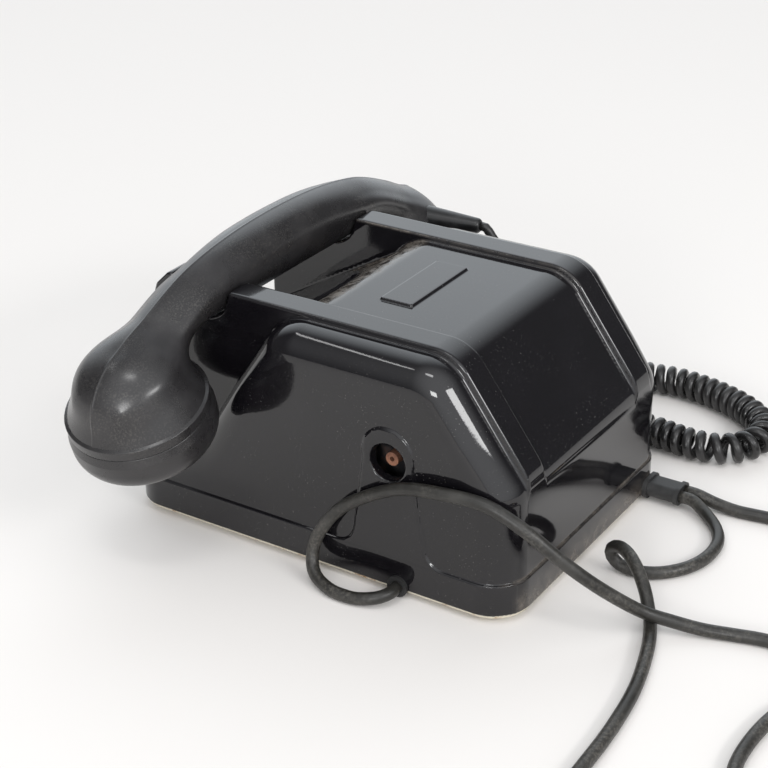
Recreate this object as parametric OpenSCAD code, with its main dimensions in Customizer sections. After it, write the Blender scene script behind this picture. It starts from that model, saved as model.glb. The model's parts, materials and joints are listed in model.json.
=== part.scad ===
// Desk telephone with a hand magneto, in millimetres. Front at -Y, user's right at +X, base on z = 0.

/* [Overall] */
// Width of the skirt from side to side
width = 144; // [138:1:170]
// Depth of the skirt from front to back
depth = 198; // [186:1:230]
// Height of the rails above the table
rail_top = 110.7; // [104:0.1:130]
// Height of the rubber feet
foot_height = 2.5; // [2:0.1:5]
// Thickness of the steel base plate
plate_thick = 1.5; // [1:0.1:2.5]

/* [Housing] */
// Wall of the moulded shell
wall = 4; // [3:0.1:5]
// Height of the skirt band
skirt_height = 14.3; // [13:0.1:20]
// How far the skirt stands proud of the walls above it
skirt_step = 1; // [0.5:0.1:2]
// Corner radius of the skirt in plan
corner = 17; // [12:0.5:22]
// Width of the shoulder outside each rail
shoulder = 16.7; // [14:0.1:18]
// Width of a rail
rail_width = 13.8; // [13:0.1:16]
// How far the rails stand proud of the panel and the shoulders
rail_proud = 2.7; // [1.5:0.1:4]
// Edge radius of the shoulders
edge_round = 13; // [8:0.5:15]
// From the back to the knee where the rear slope starts
slope_run = 35.5; // [30:0.5:42]
// Steepness of the rear slope in degrees
slope_angle = 54.4; // [50:0.1:58]
// From the front of the skirt to the middle of the handset saddle
saddle_from_front = 35; // [33:0.5:40]
// Depth of the saddle below the rails
saddle_depth = 13.7; // [12:0.1:15]
// Radius of the blank disc that closes the dial opening
blank_radius = 35; // [30:0.5:36]

/* [Crank] */
// From the back of the skirt to the magneto shaft
crank_from_back = 57.7; // [55:0.1:62]
// Height of the magneto shaft above the base plate
crank_height = 58.5; // [56:0.1:62]
// Radius of the crank hole in the housing
crank_hole = 8.25; // [7:0.05:10]
// Radius of the magneto shaft
shaft_radius = 3; // [2.5:0.1:4]
// Radius of the threaded hole in the shaft end
tap_radius = 1.1; // [0.8:0.05:1.3]
// Gear module of the magneto drive
gear_module = 1.25; // [1.15:0.01:1.3]

/* [Handset] */
// From the middle of the handset to each cap
handset_reach = 101.5; // [101.5:0.5:108]
// Tilt of each cap towards the middle
cap_tilt = 17; // [12:0.5:17]
// Radius of the handset's ends at the edge above the caps
cap_radius = 30.4; // [28:0.1:30.4]
// Height of a cap
cap_height = 19.8; // [17.8:0.1:19.8]
// Height of the handle over the saddle
handle_height = 30.4; // [26:0.1:32]
// Half width of the handle
handle_half = 14; // [12.5:0.1:14.5]

/* [Cords] */
// Diameter of the three straight cords
cord_d = 5.6; // [5:0.1:6]
// Diameter of the curly cord's wire
curl_d = 4.6; // [4.4:0.1:4.6]
// Distance across the curls
curl_across = 15; // [14:0.1:15.5]
// Number of curls
curls = 41; // [36:1:41]
// Turns in each put away coil
coil_turns = 4; // [3:1:4]
// Space between neighbouring turns
coil_space = 0.55; // [0.5:0.05:1]

/* [Fits] */
// Radial clearance of a running shaft
run_clear = 0.05; // [0.02:0.01:0.1]
// Radial clearance of a sliding plunger
slide_clear = 0.1; // [0.05:0.01:0.2]
// Clearance around a fixed piece in its hole
fit_clear = 0.1; // [0.05:0.01:0.2]
// Upward travel of the cradle plungers
plunger_travel = 4; // [3:0.5:4]

/* [Hidden] */
$fn = 48;
e = 0.01;
hw = width / 2;
hd = depth / 2;
bw = hw - skirt_step;
bd = hd - skirt_step;
z_plate = foot_height + plate_thick;
z_skirt = z_plate + skirt_height;
top_z = rail_top - rail_proud;
rail_out = hw - shoulder;
rail_in = rail_out - rail_width;
saddle_y = -hd + saddle_from_front;
saddle_z = rail_top - saddle_depth;
knee_y = hd - slope_run;
ss = cos(slope_angle);
sc = sin(slope_angle);
// Front slope between the arms: start, end and outward normal
fy0 = saddle_y + 56;
fz0 = top_z;
fy1 = -bd;
fz1 = saddle_z - 40.1;
fl = norm([fy1 - fy0, fz1 - fz0]);
f_dir = [fy1 - fy0, fz1 - fz0] / fl;
f_nor = [f_dir[1], -f_dir[0]];
f_tilt = atan2(-f_nor[0], f_nor[1]);
blank_at = [fy0, fz0] + f_dir * (fl * 0.54);
// Magneto
shaft_y = hd - crank_from_back;
shaft_z = z_plate + crank_height;
shaft_end = bw - 3;
gear_n = 40;
pin_n = 10;
arm_z = shaft_z - gear_module * (gear_n + pin_n) / 2;
mag_x0 = bw - 66;
mag_x1 = bw - 20;
cheek = 3;
rotor_r = 12;
// Ringer
gong_r = 20;
gong_x = -bw + 28;
ring_y = hd - 55;
gong_gap = 8;
gong_dy = gong_r + gong_gap / 2;
coil_x = -bw + 55;
ring_z = z_plate + 2;
clap_z = ring_z + 16;
// Hook switch
hook_y = saddle_y + 34;
hook_z = z_plate + 54;
plunger_x = rail_out - rail_width / 2 - 2.4;
plunger_r = 2.5;
bar_t = 3;
lift_gap = 0.9;
// Handset
cap_z = saddle_z - 21.8;
collar = 4.3;
// Cord exits
sleeve_x = -hw + 15;
sleeve_z = z_plate + 1.8;
sleeve_len = 17;
bell_y = hd - 53;
bush_z = z_plate + 1.2;
hand_y = hd - 45;
cr = cord_d / 2;
floor_z = cr + 0.05;
coil_pitch = cord_d + coil_space;
coil_in = 22;
coil_out = coil_in + coil_pitch * coil_turns;

// Unit vector along v
function unit(v) = v / norm(v);
// Corner b of a path a, b, c rounded with radius r in n steps
function fillet(a, b, c, r, n = 6) =
    let (u = unit(a - b), v = unit(c - b), half = acos(max(-1, min(1, u * v))) / 2,
         m = unit(u + v), o = b + m * r / sin(half), p = b + u * r / tan(half),
         s = (u[0] * v[1] - u[1] * v[0]) > 0 ? 1 : -1, w = s * (180 - 2 * half), q = p - o)
    [for (i = [0 : n]) let (t = -w * i / n)
        o + [q[0] * cos(t) - q[1] * sin(t), q[0] * sin(t) + q[1] * cos(t)]];
// Closed path of [y, z, radius] corners with every corner rounded
function rounded(c) = [for (i = [0 : len(c) - 1])
    let (k = len(c), a = c[(i + k - 1) % k], b = c[i], d = c[(i + 1) % k])
    each (b[2] > 0 ? fillet([a[0], a[1]], [b[0], b[1]], [d[0], d[1]], b[2]) : [[b[0], b[1]]])];
// Height of the rear slope at y, moved in by t along its normal
function slope_z(y, t) = rail_top - t * ss - sc * (y - knee_y + t * sc) / ss;
// Place along y where the rear slope moved in by t meets height z
function slope_y(z, t) = knee_y - t * sc + ss * (rail_top - t * ss - z) / sc;

// Block with true round corners in plan
module block(w, l, z0, z1, r) {
    translate([-w / 2 + r, -l / 2, z0])
        cube([w - 2 * r, l, z1 - z0]);
    translate([-w / 2, -l / 2 + r, z0])
        cube([w, l - 2 * r, z1 - z0]);
    for (sx = [-1, 1], sy = [-1, 1])
        translate([sx * (w / 2 - r), sy * (l / 2 - r), z0])
            cylinder(h = z1 - z0, r = r);
}

// Long bar along y, top at z = 0, with both top edges round
module tunnel(w, r, l, h) {
    translate([-w / 2, -l / 2, -h])
        cube([w, l, h - r]);
    translate([-w / 2 + r, -l / 2, -h])
        cube([w - 2 * r, l, h]);
    for (sx = [-1, 1])
        translate([sx * (w / 2 - r), l / 2, -r])
            rotate([90, 0, 0])
                cylinder(h = l, r = r);
}

// Side profile in y and z carried across from x0 to x1
module across(x0, x1, pts) {
    translate([x0, 0, 0])
        rotate([90, 0, 90])
            linear_extrude(x1 - x0)
                polygon(pts);
}

// Corners of the body's side profile, moved in by t, with its foot at zb
function body_side(t, zb) = rounded([[-bd + t, zb, 0], [bd - t, zb, 0],
    [bd - t, slope_z(bd - t, rail_proud + t), 15 - t],
    [slope_y(top_z - t, rail_proud + t), top_z - t, 14 - t],
    [saddle_y + 45.4 + t * 0.55, top_z - t, 23 - t],
    [saddle_y + 2 + t * 1.1, saddle_z - 53 - t * 0.2, 20 + t],
    [-bd + t, z_skirt + 8.7 - t, 0]]);
// Corners of the middle's side profile with the front slope
function middle_side(t, zb) = rounded([[-bd + t, zb, 0], [bd - t, zb, 0],
    [bd - t, slope_z(bd - t, rail_proud + t), 15 - t],
    [slope_y(top_z - t, rail_proud + t), top_z - t, 14 - t],
    [fy0 + t * tan(f_tilt / 2), fz0 - t, 6 - t],
    [fy1 + t, fz1 - t * tan(45 - f_tilt / 2), 9 - t]]);
// Corners of a rail with its saddle and front horn
function rail_side() = rounded([[-bd, z_skirt - 2, 0], [bd, z_skirt - 2, 0], [bd, slope_z(bd, 0), 15],
    [knee_y, rail_top, 14], [saddle_y + 17, rail_top, 2], [saddle_y + 9, saddle_z, 2],
    [saddle_y - 9, saddle_z, 2], [saddle_y - 16.4, rail_top + 4.8, 1.5], [saddle_y - 19.5, rail_top + 3.7, 2],
    [saddle_y - 26.6, rail_top - 3.2, 4], [saddle_y - 27.5, rail_top - 12.7, 20], [-bd, rail_top - 40, 20]]);

module body_solid(t, zb) {
    intersection() {
        across(-bw + t, bw - t, body_side(t, zb));
        block(2 * (bw - t), 2 * (bd - t), zb - 1, rail_top, corner - skirt_step - t);
        translate([0, 0, top_z - t])
            tunnel(2 * (bw - t), edge_round - t, 2 * depth, rail_top);
        translate([0, slope_y(top_z - t, rail_proud + t), top_z - t])
            rotate([-slope_angle, 0, 0])
                tunnel(2 * (bw - t), edge_round - t, 3 * depth, 2 * rail_top);
    }
}

module middle_solid(t, zb) {
    across(-rail_out + t, rail_out - t, middle_side(t, zb));
}

// Turned piece on the front slope, z along its outward normal
module on_slope(p) {
    translate([0, p[0], p[1]])
        rotate([f_tilt, 0, 0])
            children();
}

// Oval bar of two cords side by side, along +y
module oval(h, w, l) {
    for (sx = [-1, 1])
        translate([sx * (w - h) / 2, 0, 0])
            rotate([-90, 0, 0])
                cylinder(h = l, d = h);
    translate([-(w - h) / 2, 0, -h / 2])
        cube([w - h, l, h]);
}

// Openings for the cord sleeve and the two bushes
module cord_holes() {
    translate([sleeve_x, bd - wall - 4, sleeve_z])
        oval(cord_d + 1.4 + 2 * fit_clear, 2 * cord_d + 1.6 + 2 * fit_clear, 20);
    translate([bw - wall - 4, bell_y, bush_z])
        rotate([0, 90, 0])
            cylinder(h = 20, d = cord_d + 2 + 2 * fit_clear);
    translate([-bw + wall + 4, hand_y, bush_z])
        rotate([0, -90, 0])
            cylinder(h = 20, d = curl_d + 2 + 2 * fit_clear);
}

screw_at = [for (sx = [-1, 1], sy = [-1, 1]) [sx * (bw - wall - 4.5), sy * (hd - 31)]];
foot_at = [for (sx = [-1, 1], sy = [-1, 1]) [sx * (hw - 18), sy * (hd - 18)]];

module housing() {
    arch = [for (i = [-1 : 13]) [shaft_y + 12.5 * cos(15 * i), shaft_z + 3 + 12.5 * sin(15 * i)]];
    color([0.03, 0.03, 0.035]) {
        difference() {
            union() {
                block(width, depth, z_plate, z_skirt, corner);
                body_solid(0, z_skirt - 2);
                middle_solid(0, z_skirt - 2);
                across(rail_in, rail_out, rail_side());
                across(-rail_out, -rail_in, rail_side());
                across(bw - 2, bw + 1.5,
                    concat([[shaft_y - 19, z_skirt - 1], [shaft_y + 19, z_skirt - 1]], arch));
                translate([-23, saddle_y + 71, top_z - 1])
                    cube([46, 16, 2.2]);
            }
            body_solid(wall, -20);
            middle_solid(wall, -20);
            block(2 * (bw - wall), 2 * (bd - wall), -1, z_skirt + 4, corner - skirt_step - wall);
            translate([bw - 20, shaft_y, shaft_z])
                rotate([0, 90, 0])
                    cylinder(h = 30, r = crank_hole);
            for (sx = [-1, 1])
                translate([sx * plunger_x, saddle_y, hook_z])
                    cylinder(h = 80, r = plunger_r + slide_clear);
            on_slope(blank_at)
                translate([0, 0, -10])
                    cylinder(h = 20, r = blank_radius - 3);
            cord_holes();
        }
        for (p = screw_at)
            difference() {
                translate([p[0], p[1], z_plate])
                    cylinder(h = 10, r = 5);
                translate([p[0], p[1], z_plate - 1])
                    cylinder(h = 9.5, r = 1.6);
            }
    }
}

module base_plate() {
    color([0.62, 0.6, 0.55])
        difference() {
            block(2 * bw, 2 * bd, foot_height, z_plate, corner - skirt_step);
            for (p = screw_at)
                translate([p[0], p[1], -1])
                    cylinder(h = 20, r = 1.6);
            cord_holes();
        }
}

module base_screws() {
    color([0.6, 0.6, 0.6])
        for (p = screw_at)
            translate([p[0], p[1], 0]) {
                translate([0, 0, foot_height - 1.4])
                    cylinder(h = 1.4, r = 3);
                translate([0, 0, foot_height - e])
                    cylinder(h = plate_thick + 7, r = 1.6 - fit_clear);
            }
}

module feet() {
    color([0.1, 0.1, 0.1])
        for (p = foot_at)
            translate([p[0], p[1], 0])
                cylinder(h = foot_height, r1 = 6, r2 = 7);
}

module dial_blank() {
    color([0.03, 0.03, 0.035])
        on_slope(blank_at) {
            cylinder(h = 1.2, r = blank_radius);
            translate([0, 0, 1.2 - e])
                cylinder(h = 0.8, r1 = blank_radius - 0.4, r2 = blank_radius - 2);
            translate([0, 0, -wall - 2])
                cylinder(h = wall + 2 + e, r = blank_radius - 3 - fit_clear);
        }
}

module blank_ring() {
    color([0.6, 0.6, 0.6])
        on_slope(blank_at)
            translate([0, 0, -wall - 1.6])
                difference() {
                    cylinder(h = 1.6, r = blank_radius + 1);
                    translate([0, 0, -1])
                        cylinder(h = 4, r = blank_radius - 3);
                }
}

// Cheek plate of the magneto with both bearings
module magneto_cheek(x) {
    difference() {
        translate([x, shaft_y - 19, ring_z - e])
            cube([cheek, 38, shaft_z - ring_z + 10]);
        translate([x - 1, shaft_y, shaft_z])
            rotate([0, 90, 0])
                cylinder(h = cheek + 2, r = shaft_radius + run_clear);
        translate([x - 1, shaft_y, arm_z])
            rotate([0, 90, 0])
                cylinder(h = cheek + 2, r = 2.5 + run_clear);
    }
}

module magneto_frame() {
    color([0.7, 0.55, 0.3]) {
        translate([mag_x0, shaft_y - 21, z_plate])
            cube([mag_x1 - mag_x0, 42, 2]);
        magneto_cheek(mag_x0);
        magneto_cheek(mag_x1 - cheek);
    }
}

module magnets() {
    r1 = rotor_r + 1;
    r2 = r1 + 6;
    bar = (mag_x1 - mag_x0 - 2 * cheek - 4) / 3;
    color([0.2, 0.2, 0.22])
        for (i = [0 : 2])
            translate([mag_x0 + cheek + 1 + i * (bar + 1), shaft_y, 0])
                difference() {
                    union() {
                        translate([0, -r2, ring_z])
                            cube([bar, 2 * r2, shaft_z - ring_z]);
                        translate([0, 0, shaft_z])
                            rotate([0, 90, 0])
                                cylinder(h = bar, r = r2);
                    }
                    translate([-1, -r1, ring_z - 1])
                        cube([bar + 2, 2 * r1, shaft_z - ring_z + 1]);
                    translate([-1, 0, shaft_z])
                        rotate([0, 90, 0])
                            cylinder(h = bar + 2, r = r1);
                }
}

module drive_shaft() {
    color([0.45, 0.25, 0.18])
        difference() {
            translate([mag_x0 - 2, shaft_y, shaft_z])
                rotate([0, 90, 0])
                    union() {
                        cylinder(h = shaft_end - mag_x0 + 2, r = shaft_radius);
                        translate([0, 0, 0])
                            cylinder(h = 1.7, r = shaft_radius + 2);
                        translate([0, 0, mag_x1 - mag_x0 + 2.3])
                            cylinder(h = 1.2, r = shaft_radius + 2);
                    }
            translate([shaft_end - 9, shaft_y, shaft_z])
                rotate([0, 90, 0])
                    cylinder(h = 10, r = tap_radius);
        }
}

// Outline of a toothed wheel with n teeth, first tooth at angle 0
function teeth(n) = let (r = gear_module * n / 2, a = r + 0.7 * gear_module,
    b = r - 1.1 * gear_module, p = 360 / n)
    [for (k = [0 : n - 1]) each [[b, -0.28], [a, -0.11], [a, 0.11], [b, 0.28]] * [[1, 0], [0, p]]
        + [[0, k * p], [0, k * p], [0, k * p], [0, k * p]]];
module wheel(n, h, bore) {
    t = teeth(n);
    difference() {
        linear_extrude(h)
            polygon([for (q = t) [q[0] * cos(q[1]), q[0] * sin(q[1])]]);
        translate([0, 0, -1])
            cylinder(h = h + 2, r = bore);
    }
}

module drive_gear() {
    color([0.75, 0.6, 0.3])
        translate([mag_x1 + 1.5, shaft_y, shaft_z])
            rotate([0, 90, 0])
                wheel(gear_n, 4, shaft_radius);
}

module armature() {
    color([0.55, 0.35, 0.2])
        translate([mag_x0 - 2, shaft_y, arm_z])
            rotate([0, 90, 0]) {
                cylinder(h = mag_x1 - mag_x0 + 10, r = 2.5);
                translate([0, 0, cheek + 3])
                    cylinder(h = mag_x1 - mag_x0 - 2 * cheek - 2, r = rotor_r);
                cylinder(h = 1.7, r = 4.2);
            }
}

module pinion() {
    color([0.75, 0.6, 0.3])
        translate([mag_x1 + 1, shaft_y, arm_z])
            rotate([0, 90, 0])
                rotate([0, 0, 180 / pin_n])
                    wheel(pin_n, 5, 2.5);
}

module ringer_base() {
    color([0.6, 0.6, 0.6]) {
        translate([gong_x - 8, ring_y - gong_dy - 8, z_plate])
            cube([coil_x - gong_x + 19, 2 * gong_dy + 16, 2]);
        for (sy = [-1, 1])
            translate([gong_x, ring_y + sy * gong_dy, ring_z - e])
                difference() {
                    cylinder(h = 26 + e, r = 4);
                    translate([0, 0, 10])
                        cylinder(h = 20, r = 1.6);
                }
        translate([coil_x, ring_y, ring_z - e])
            cylinder(h = clap_z - ring_z + 10, r = 2);
    }
}

module gongs() {
    color([0.55, 0.5, 0.38])
        for (sy = [-1, 1])
            translate([gong_x, ring_y + sy * gong_dy, ring_z + 10])
                difference() {
                    union() {
                        cylinder(h = 8, r = gong_r);
                        translate([0, 0, 8 - e])
                            cylinder(h = 10 + e, r1 = gong_r, r2 = 12);
                    }
                    translate([0, 0, -1])
                        cylinder(h = 9, r = gong_r - 1.6);
                    translate([0, 0, 8 - 2 * e])
                        cylinder(h = 8, r1 = gong_r - 1.6, r2 = 11.5);
                    cylinder(h = 30, r = 1.6);
                }
}

module gong_screws() {
    color([0.6, 0.6, 0.6])
        for (sy = [-1, 1])
            translate([gong_x, ring_y + sy * gong_dy, ring_z]) {
                translate([0, 0, 28])
                    cylinder(h = 2, r = 4);
                translate([0, 0, 16])
                    cylinder(h = 12 + e, r = 1.6 - fit_clear);
            }
}

module ringer_coils() {
    color([0.35, 0.15, 0.08])
        for (sy = [-1, 1])
            translate([coil_x, ring_y + sy * 12, ring_z]) {
                cylinder(h = 2, r = 8);
                translate([0, 0, 2 - e])
                    cylinder(h = 30, r = 7);
                translate([0, 0, 30])
                    cylinder(h = 2, r = 8);
                cylinder(h = 35, r = 3);
            }
}

module clapper() {
    color([0.7, 0.55, 0.3])
        difference() {
            union() {
                translate([coil_x, ring_y, clap_z - 3])
                    cylinder(h = 6, r = 4);
                translate([gong_x, ring_y, clap_z])
                    rotate([0, 90, 0])
                        cylinder(h = coil_x - gong_x - 3, r = 1);
                translate([gong_x, ring_y, clap_z - 3])
                    cylinder(h = 6, r = 3);
            }
            translate([coil_x, ring_y, clap_z - 10])
                cylinder(h = 20, r = 2 + run_clear);
        }
}

module induction_core() {
    color([0.3, 0.3, 0.3])
        translate([bw - 30, saddle_y + 12, z_plate + 14]) {
            rotate([-90, 0, 0])
                cylinder(h = 44, r = 5);
            for (y = [2, 39])
                translate([-14, y, -14])
                    cube([28, 3, 28]);
        }
}

module induction_coil() {
    color([0.3, 0.12, 0.06])
        translate([bw - 30, saddle_y + 17, z_plate + 14])
            rotate([-90, 0, 0])
                difference() {
                    cylinder(h = 34, r = 12);
                    translate([0, 0, -1])
                        cylinder(h = 40, r = 5);
                }
}

module capacitor() {
    color([0.5, 0.5, 0.48])
        translate([-bw + 12, saddle_y + 14, z_plate]) {
            cube([28, 38, 30]);
            for (y = [10, 28])
                translate([14, y, 30 - e])
                    cylinder(h = 5, r = 2);
        }
}

module terminal_block() {
    color([0.25, 0.14, 0.08])
        difference() {
            translate([-24, saddle_y - 14, z_plate])
                cube([48, 18, 10]);
            for (i = [0 : 4])
                translate([-18 + 9 * i, saddle_y - 5, z_plate + 2])
                    cylinder(h = 20, r = 1.6);
        }
}

module terminal_screws() {
    color([0.75, 0.6, 0.3])
        for (i = [0 : 4])
            translate([-18 + 9 * i, saddle_y - 5, z_plate + 3]) {
                cylinder(h = 7 + e, r = 1.6 - fit_clear);
                translate([0, 0, 7])
                    cylinder(h = 2, r = 3);
            }
}

module hook_bracket() {
    color([0.62, 0.6, 0.55]) {
        translate([-13, hook_y - 8, z_plate])
            cube([26, 16, 2]);
        for (x = [-13, 10])
            difference() {
                translate([x, hook_y - 8, z_plate])
                    cube([3, 16, hook_z - z_plate + 7]);
                translate([x - 1, hook_y, hook_z])
                    rotate([0, 90, 0])
                        cylinder(h = 5, r = 2 + run_clear);
            }
    }
}

module hook_lever() {
    color([0.6, 0.6, 0.6]) {
        translate([-14, hook_y, hook_z])
            rotate([0, 90, 0])
                cylinder(h = 28, r = 2);
        translate([-9, hook_y, hook_z])
            rotate([0, 90, 0])
                cylinder(h = 18, r = 4.5);
        translate([-6, saddle_y - 3, hook_z - bar_t / 2])
            cube([12, hook_y - saddle_y + 3, bar_t]);
        translate([-plunger_x - 3, saddle_y - 4, hook_z - bar_t / 2])
            cube([2 * plunger_x + 6, 8, bar_t]);
        translate([-3, hook_y, hook_z - bar_t / 2])
            cube([6, 13, bar_t]);
    }
}

module contact_springs() {
    color([0.75, 0.6, 0.3])
        translate([-9, hook_y + 16, z_plate]) {
            for (y = [0, 4, 8])
                translate([3, y, 12])
                    cube([12, 0.7, hook_z - z_plate - 8]);
            cube([18, 8.7, 14]);
        }
}

module plungers() {
    color([0.6, 0.6, 0.6])
        for (sx = [-1, 1])
            translate([sx * plunger_x, saddle_y, hook_z + bar_t / 2 + lift_gap]) {
                cylinder(h = saddle_z - hook_z - bar_t / 2 - lift_gap, r = plunger_r);
                cylinder(h = 2, r = plunger_r + 1.2);
            }
}

// Smooth step from 0 at a to 1 at b
function ease(x, a, b) = let (t = max(0, min(1, (x - a) / (b - a)))) t * t * (3 - 2 * t);
// Outer height of the handle at x from its middle
function handle_top(x) = saddle_z + handle_height - 0.0013 * pow(x * 101.5 / handset_reach, 2)
    - 7.5e-8 * pow(x * 101.5 / handset_reach, 4) - 1.2 * ease(abs(x), 60, 90);
// Gap between the handle and the cradle that it rests on
rest_gap = 0.05;
// Underside of the handle at x
function handle_low(x) = saddle_z + rest_gap - 18 * ease(abs(x), 62, handset_reach + 4);
// Half width of the handle at x
function handle_wide(x) = handle_half + 1.5 * ease(abs(x), 70, handset_reach + 4);
// Share of the section left at x, closing to a round end inside the domes
function handle_end(x) = sqrt(1 - pow(max(0, abs(x) - handset_reach + 5) / 16, 2));
// Sine or cosine bent so that a section with exponent p comes to a ridge as p falls
function bent(v, p) = sign(v) * pow(abs(v), 2 / p);

// Points of one handle section: narrow and flat below, ridged above
function section(x) = let (b = handle_low(x), m = (b + handle_top(x)) / 2, f = handle_end(x),
    h = (handle_top(x) - b) / 2 * f, w = handle_wide(x) * f, p = 2.1 - 0.7 * ease(abs(x), 20, 65))
    [for (k = [0 : 15]) let (a = 360 * (k + 0.5) / 16, c = cos(a), s = sin(a))
        [x, saddle_y + w * (s < -0.6 ? 0.5 * sign(c) * (abs(c) > 0.4 ? 1 : 0.4) : s < -0.1 ? 0.82 * c : bent(c, p)),
         m + h * (s < -0.6 ? -1 : s < 0 ? s : bent(s, p))]];

// Skin over rings of points, both ends closed
module skin(rings) {
    n = len(rings[0]);
    m = len(rings);
    polyhedron(points = [for (r = rings) each r],
        faces = concat([[for (k = [0 : n - 1]) k]], [[for (k = [n - 1 : -1 : 0]) (m - 1) * n + k]],
            [for (i = [0 : m - 2], k = [0 : n - 1]) each
                [[i * n + k, (i + 1) * n + k, (i + 1) * n + (k + 1) % n],
                 [i * n + k, (i + 1) * n + (k + 1) % n, i * n + (k + 1) % n]]]), convexity = 6);
}

// Frame at one handset end, z up along the cap's axis, sx = 1 at the user's right
module at_cap(sx) {
    translate([sx * handset_reach, saddle_y, cap_z])
        rotate([0, sx * cap_tilt, 0])
            children();
}

// Outline of one dome: wall leaning in by n for each mm up, round shoulder, flat top
dome_top = cap_radius - 2.9;
function dome_side(n) = let (r = 11, m = cap_radius - 0.2 - n * (dome_top - r) - r * norm([1, n]))
    [[0, 0], [cap_radius - 0.2, 0],
     each [for (i = [0 : 8]) let (t = atan(n) + (90 - atan(n)) * i / 8)
         [m + r * cos(t), dome_top - r + r * sin(t)]], [0, dome_top]];

module handset_body() {
    color([0.05, 0.05, 0.055])
        difference() {
            union() {
                skin([for (x = [-9, -7, -4, 0, 5, 9, 14, 21, 30, 39, 57, 77, 101.5, 126, 146, 164, 173, 182, 189, 194,
                    198, 203, 207, 210, 212]) section((x / 101.5 - 1) * handset_reach)]);
                for (sx = [-1, 1])
                    at_cap(sx)
                        rotate_extrude()
                            union() {
                                polygon(dome_side(sx > 0 ? 0.5 : 0.75));
                                translate([0, -collar])
                                    square([cap_radius + 0.8, collar + 0.3]);
                            }
            }
            for (sx = [-1, 1])
                at_cap(sx)
                    translate([0, 0, -20])
                        cylinder(h = 23, r = cap_radius - 5);
        }
}

// Screwed cap under one end with its sound holes
module cap(sx) {
    r = cap_radius + 1.6;
    color([0.05, 0.05, 0.055])
        at_cap(sx)
            translate([0, 0, -collar - cap_height])
                difference() {
                    rotate_extrude()
                        polygon([[0, 0], [r - 11, 0], each [for (i = [1 : 7]) let (t = 90 * i / 7)
                            [r - 11 + 11 * sin(t), 11 - 11 * cos(t)]], [r, cap_height - 4.2],
                            [r - 0.9, cap_height], [r - 5, cap_height], [r - 5, 6.5], [r - 8, 4], [0, 4]]);
                    for (i = [0 : 6])
                        rotate([0, 0, 60 * i])
                            translate([i == 6 ? 0 : 9, 0, -1])
                                cylinder(h = 8, r = 1.5);
                }
}

module receiver_cap() {
    cap(1);
}

module transmitter_cap() {
    cap(-1);
}

module capsule(sx) {
    color([0.5, 0.5, 0.5])
        at_cap(sx)
            translate([0, 0, -collar - cap_height + 4])
                cylinder(h = collar + cap_height - 1, r = cap_radius - 8);
}

module receiver_capsule() {
    capsule(1);
}

module transmitter_capsule() {
    capsule(-1);
}

// Cord outlet on the handset's far end: middle of its root and its tip
out_root = [-handset_reach - 2, saddle_y + cap_radius - 14.4, cap_z + cap_radius - 16];
out_tip = out_root + [-4.5, 28, 0];

module strain_relief() {
    color([0.06, 0.06, 0.06])
        translate(out_root)
            rotate([-90, 0, atan2(out_root[0] - out_tip[0], out_tip[1] - out_root[1])])
                cylinder(h = norm(out_tip - out_root), r1 = 6.5, r2 = 3.6);
}

module cord_sleeve() {
    color([0.12, 0.12, 0.12])
        translate([sleeve_x, 0, sleeve_z]) {
            translate([0, bd - wall - 2, 0])
                oval(cord_d + 1.4, 2 * cord_d + 1.6, hd - bd + wall + 2 + sleeve_len);
            translate([0, hd, 0])
                oval(cord_d + 3.8, 2 * cord_d + 4, 2);
            translate([0, hd + sleeve_len - 2, 0])
                oval(cord_d + 2.8, 2 * cord_d + 3, 2);
        }
}

// Flanged bush in a side wall, along +x
module bush(d) {
    translate([-wall - skirt_step - 1, 0, 0])
        rotate([0, 90, 0])
            cylinder(h = wall + skirt_step + 1 + e, d = d + 2);
    rotate([0, 90, 0])
        cylinder(h = 1.5, d = d + 4);
}

module bell_bush() {
    color([0.08, 0.08, 0.08])
        translate([hw, bell_y, bush_z])
            bush(cord_d);
}

module hand_bush() {
    color([0.08, 0.08, 0.08])
        translate([-hw, hand_y, bush_z])
            rotate([0, 0, 180])
                bush(curl_d);
}

// Point on the smooth curve through a, b, c, d at t between b and c
function cubic(a, b, c, d, t) = 0.5 * (2 * b + (c - a) * t + (2 * a - 5 * b + 4 * c - d) * t * t
    + (3 * b - a - 3 * c + d) * t * t * t);
// Smooth curve through points with n steps between neighbours
function curve(p, n) = [for (i = [0 : len(p) - 2], k = [0 : n - 1])
    cubic(p[max(i - 1, 0)], p[i], p[i + 1], p[min(i + 2, len(p) - 1)], k / n), p[len(p) - 1]];
// Direction of a path at every point
function heading(p) = [for (i = [0 : len(p) - 1]) unit(p[min(i + 1, len(p) - 1)] - p[max(i - 1, 0)])];
// Side vector carried along a path without twist
function carried(t, s) = [for (i = 0, n = unit(s - (s * t[0]) * t[0]); i < len(t);
    i = i + 1, n = i < len(t) ? unit(n - (n * t[i]) * t[i]) : n) n];
// Round tube of radius r and k sides along a path
module tube(p, r, k, t0 = undef, t1 = undef) {
    h = heading(p);
    t = [for (i = [0 : len(h) - 1]) i == 0 && t0 != undef ? t0 : i == len(h) - 1 && t1 != undef ? t1 : h[i]];
    s = carried(t, [0, 0, 1]);
    skin([for (i = [0 : len(p) - 1]) let (b = cross(t[i], s[i]))
        [for (j = [0 : k - 1]) p[i] + r * (cos(360 * j / k) * s[i] + sin(360 * j / k) * b)]]);
}
// Distance from point q to the piece of path a to b
function to_piece(q, a, b) = let (u = b - a, f = max(0, min(1, (q - a) * u / (u * u)))) norm(q - a - u * f);
// Least distance of a path to itself, leaving out the skip nearest pieces
function self_gap(p, skip) = min([for (i = [0 : len(p) - 1], j = [i + skip : len(p) - 2])
    to_piece(p[i], p[j], p[j + 1])]);

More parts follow.
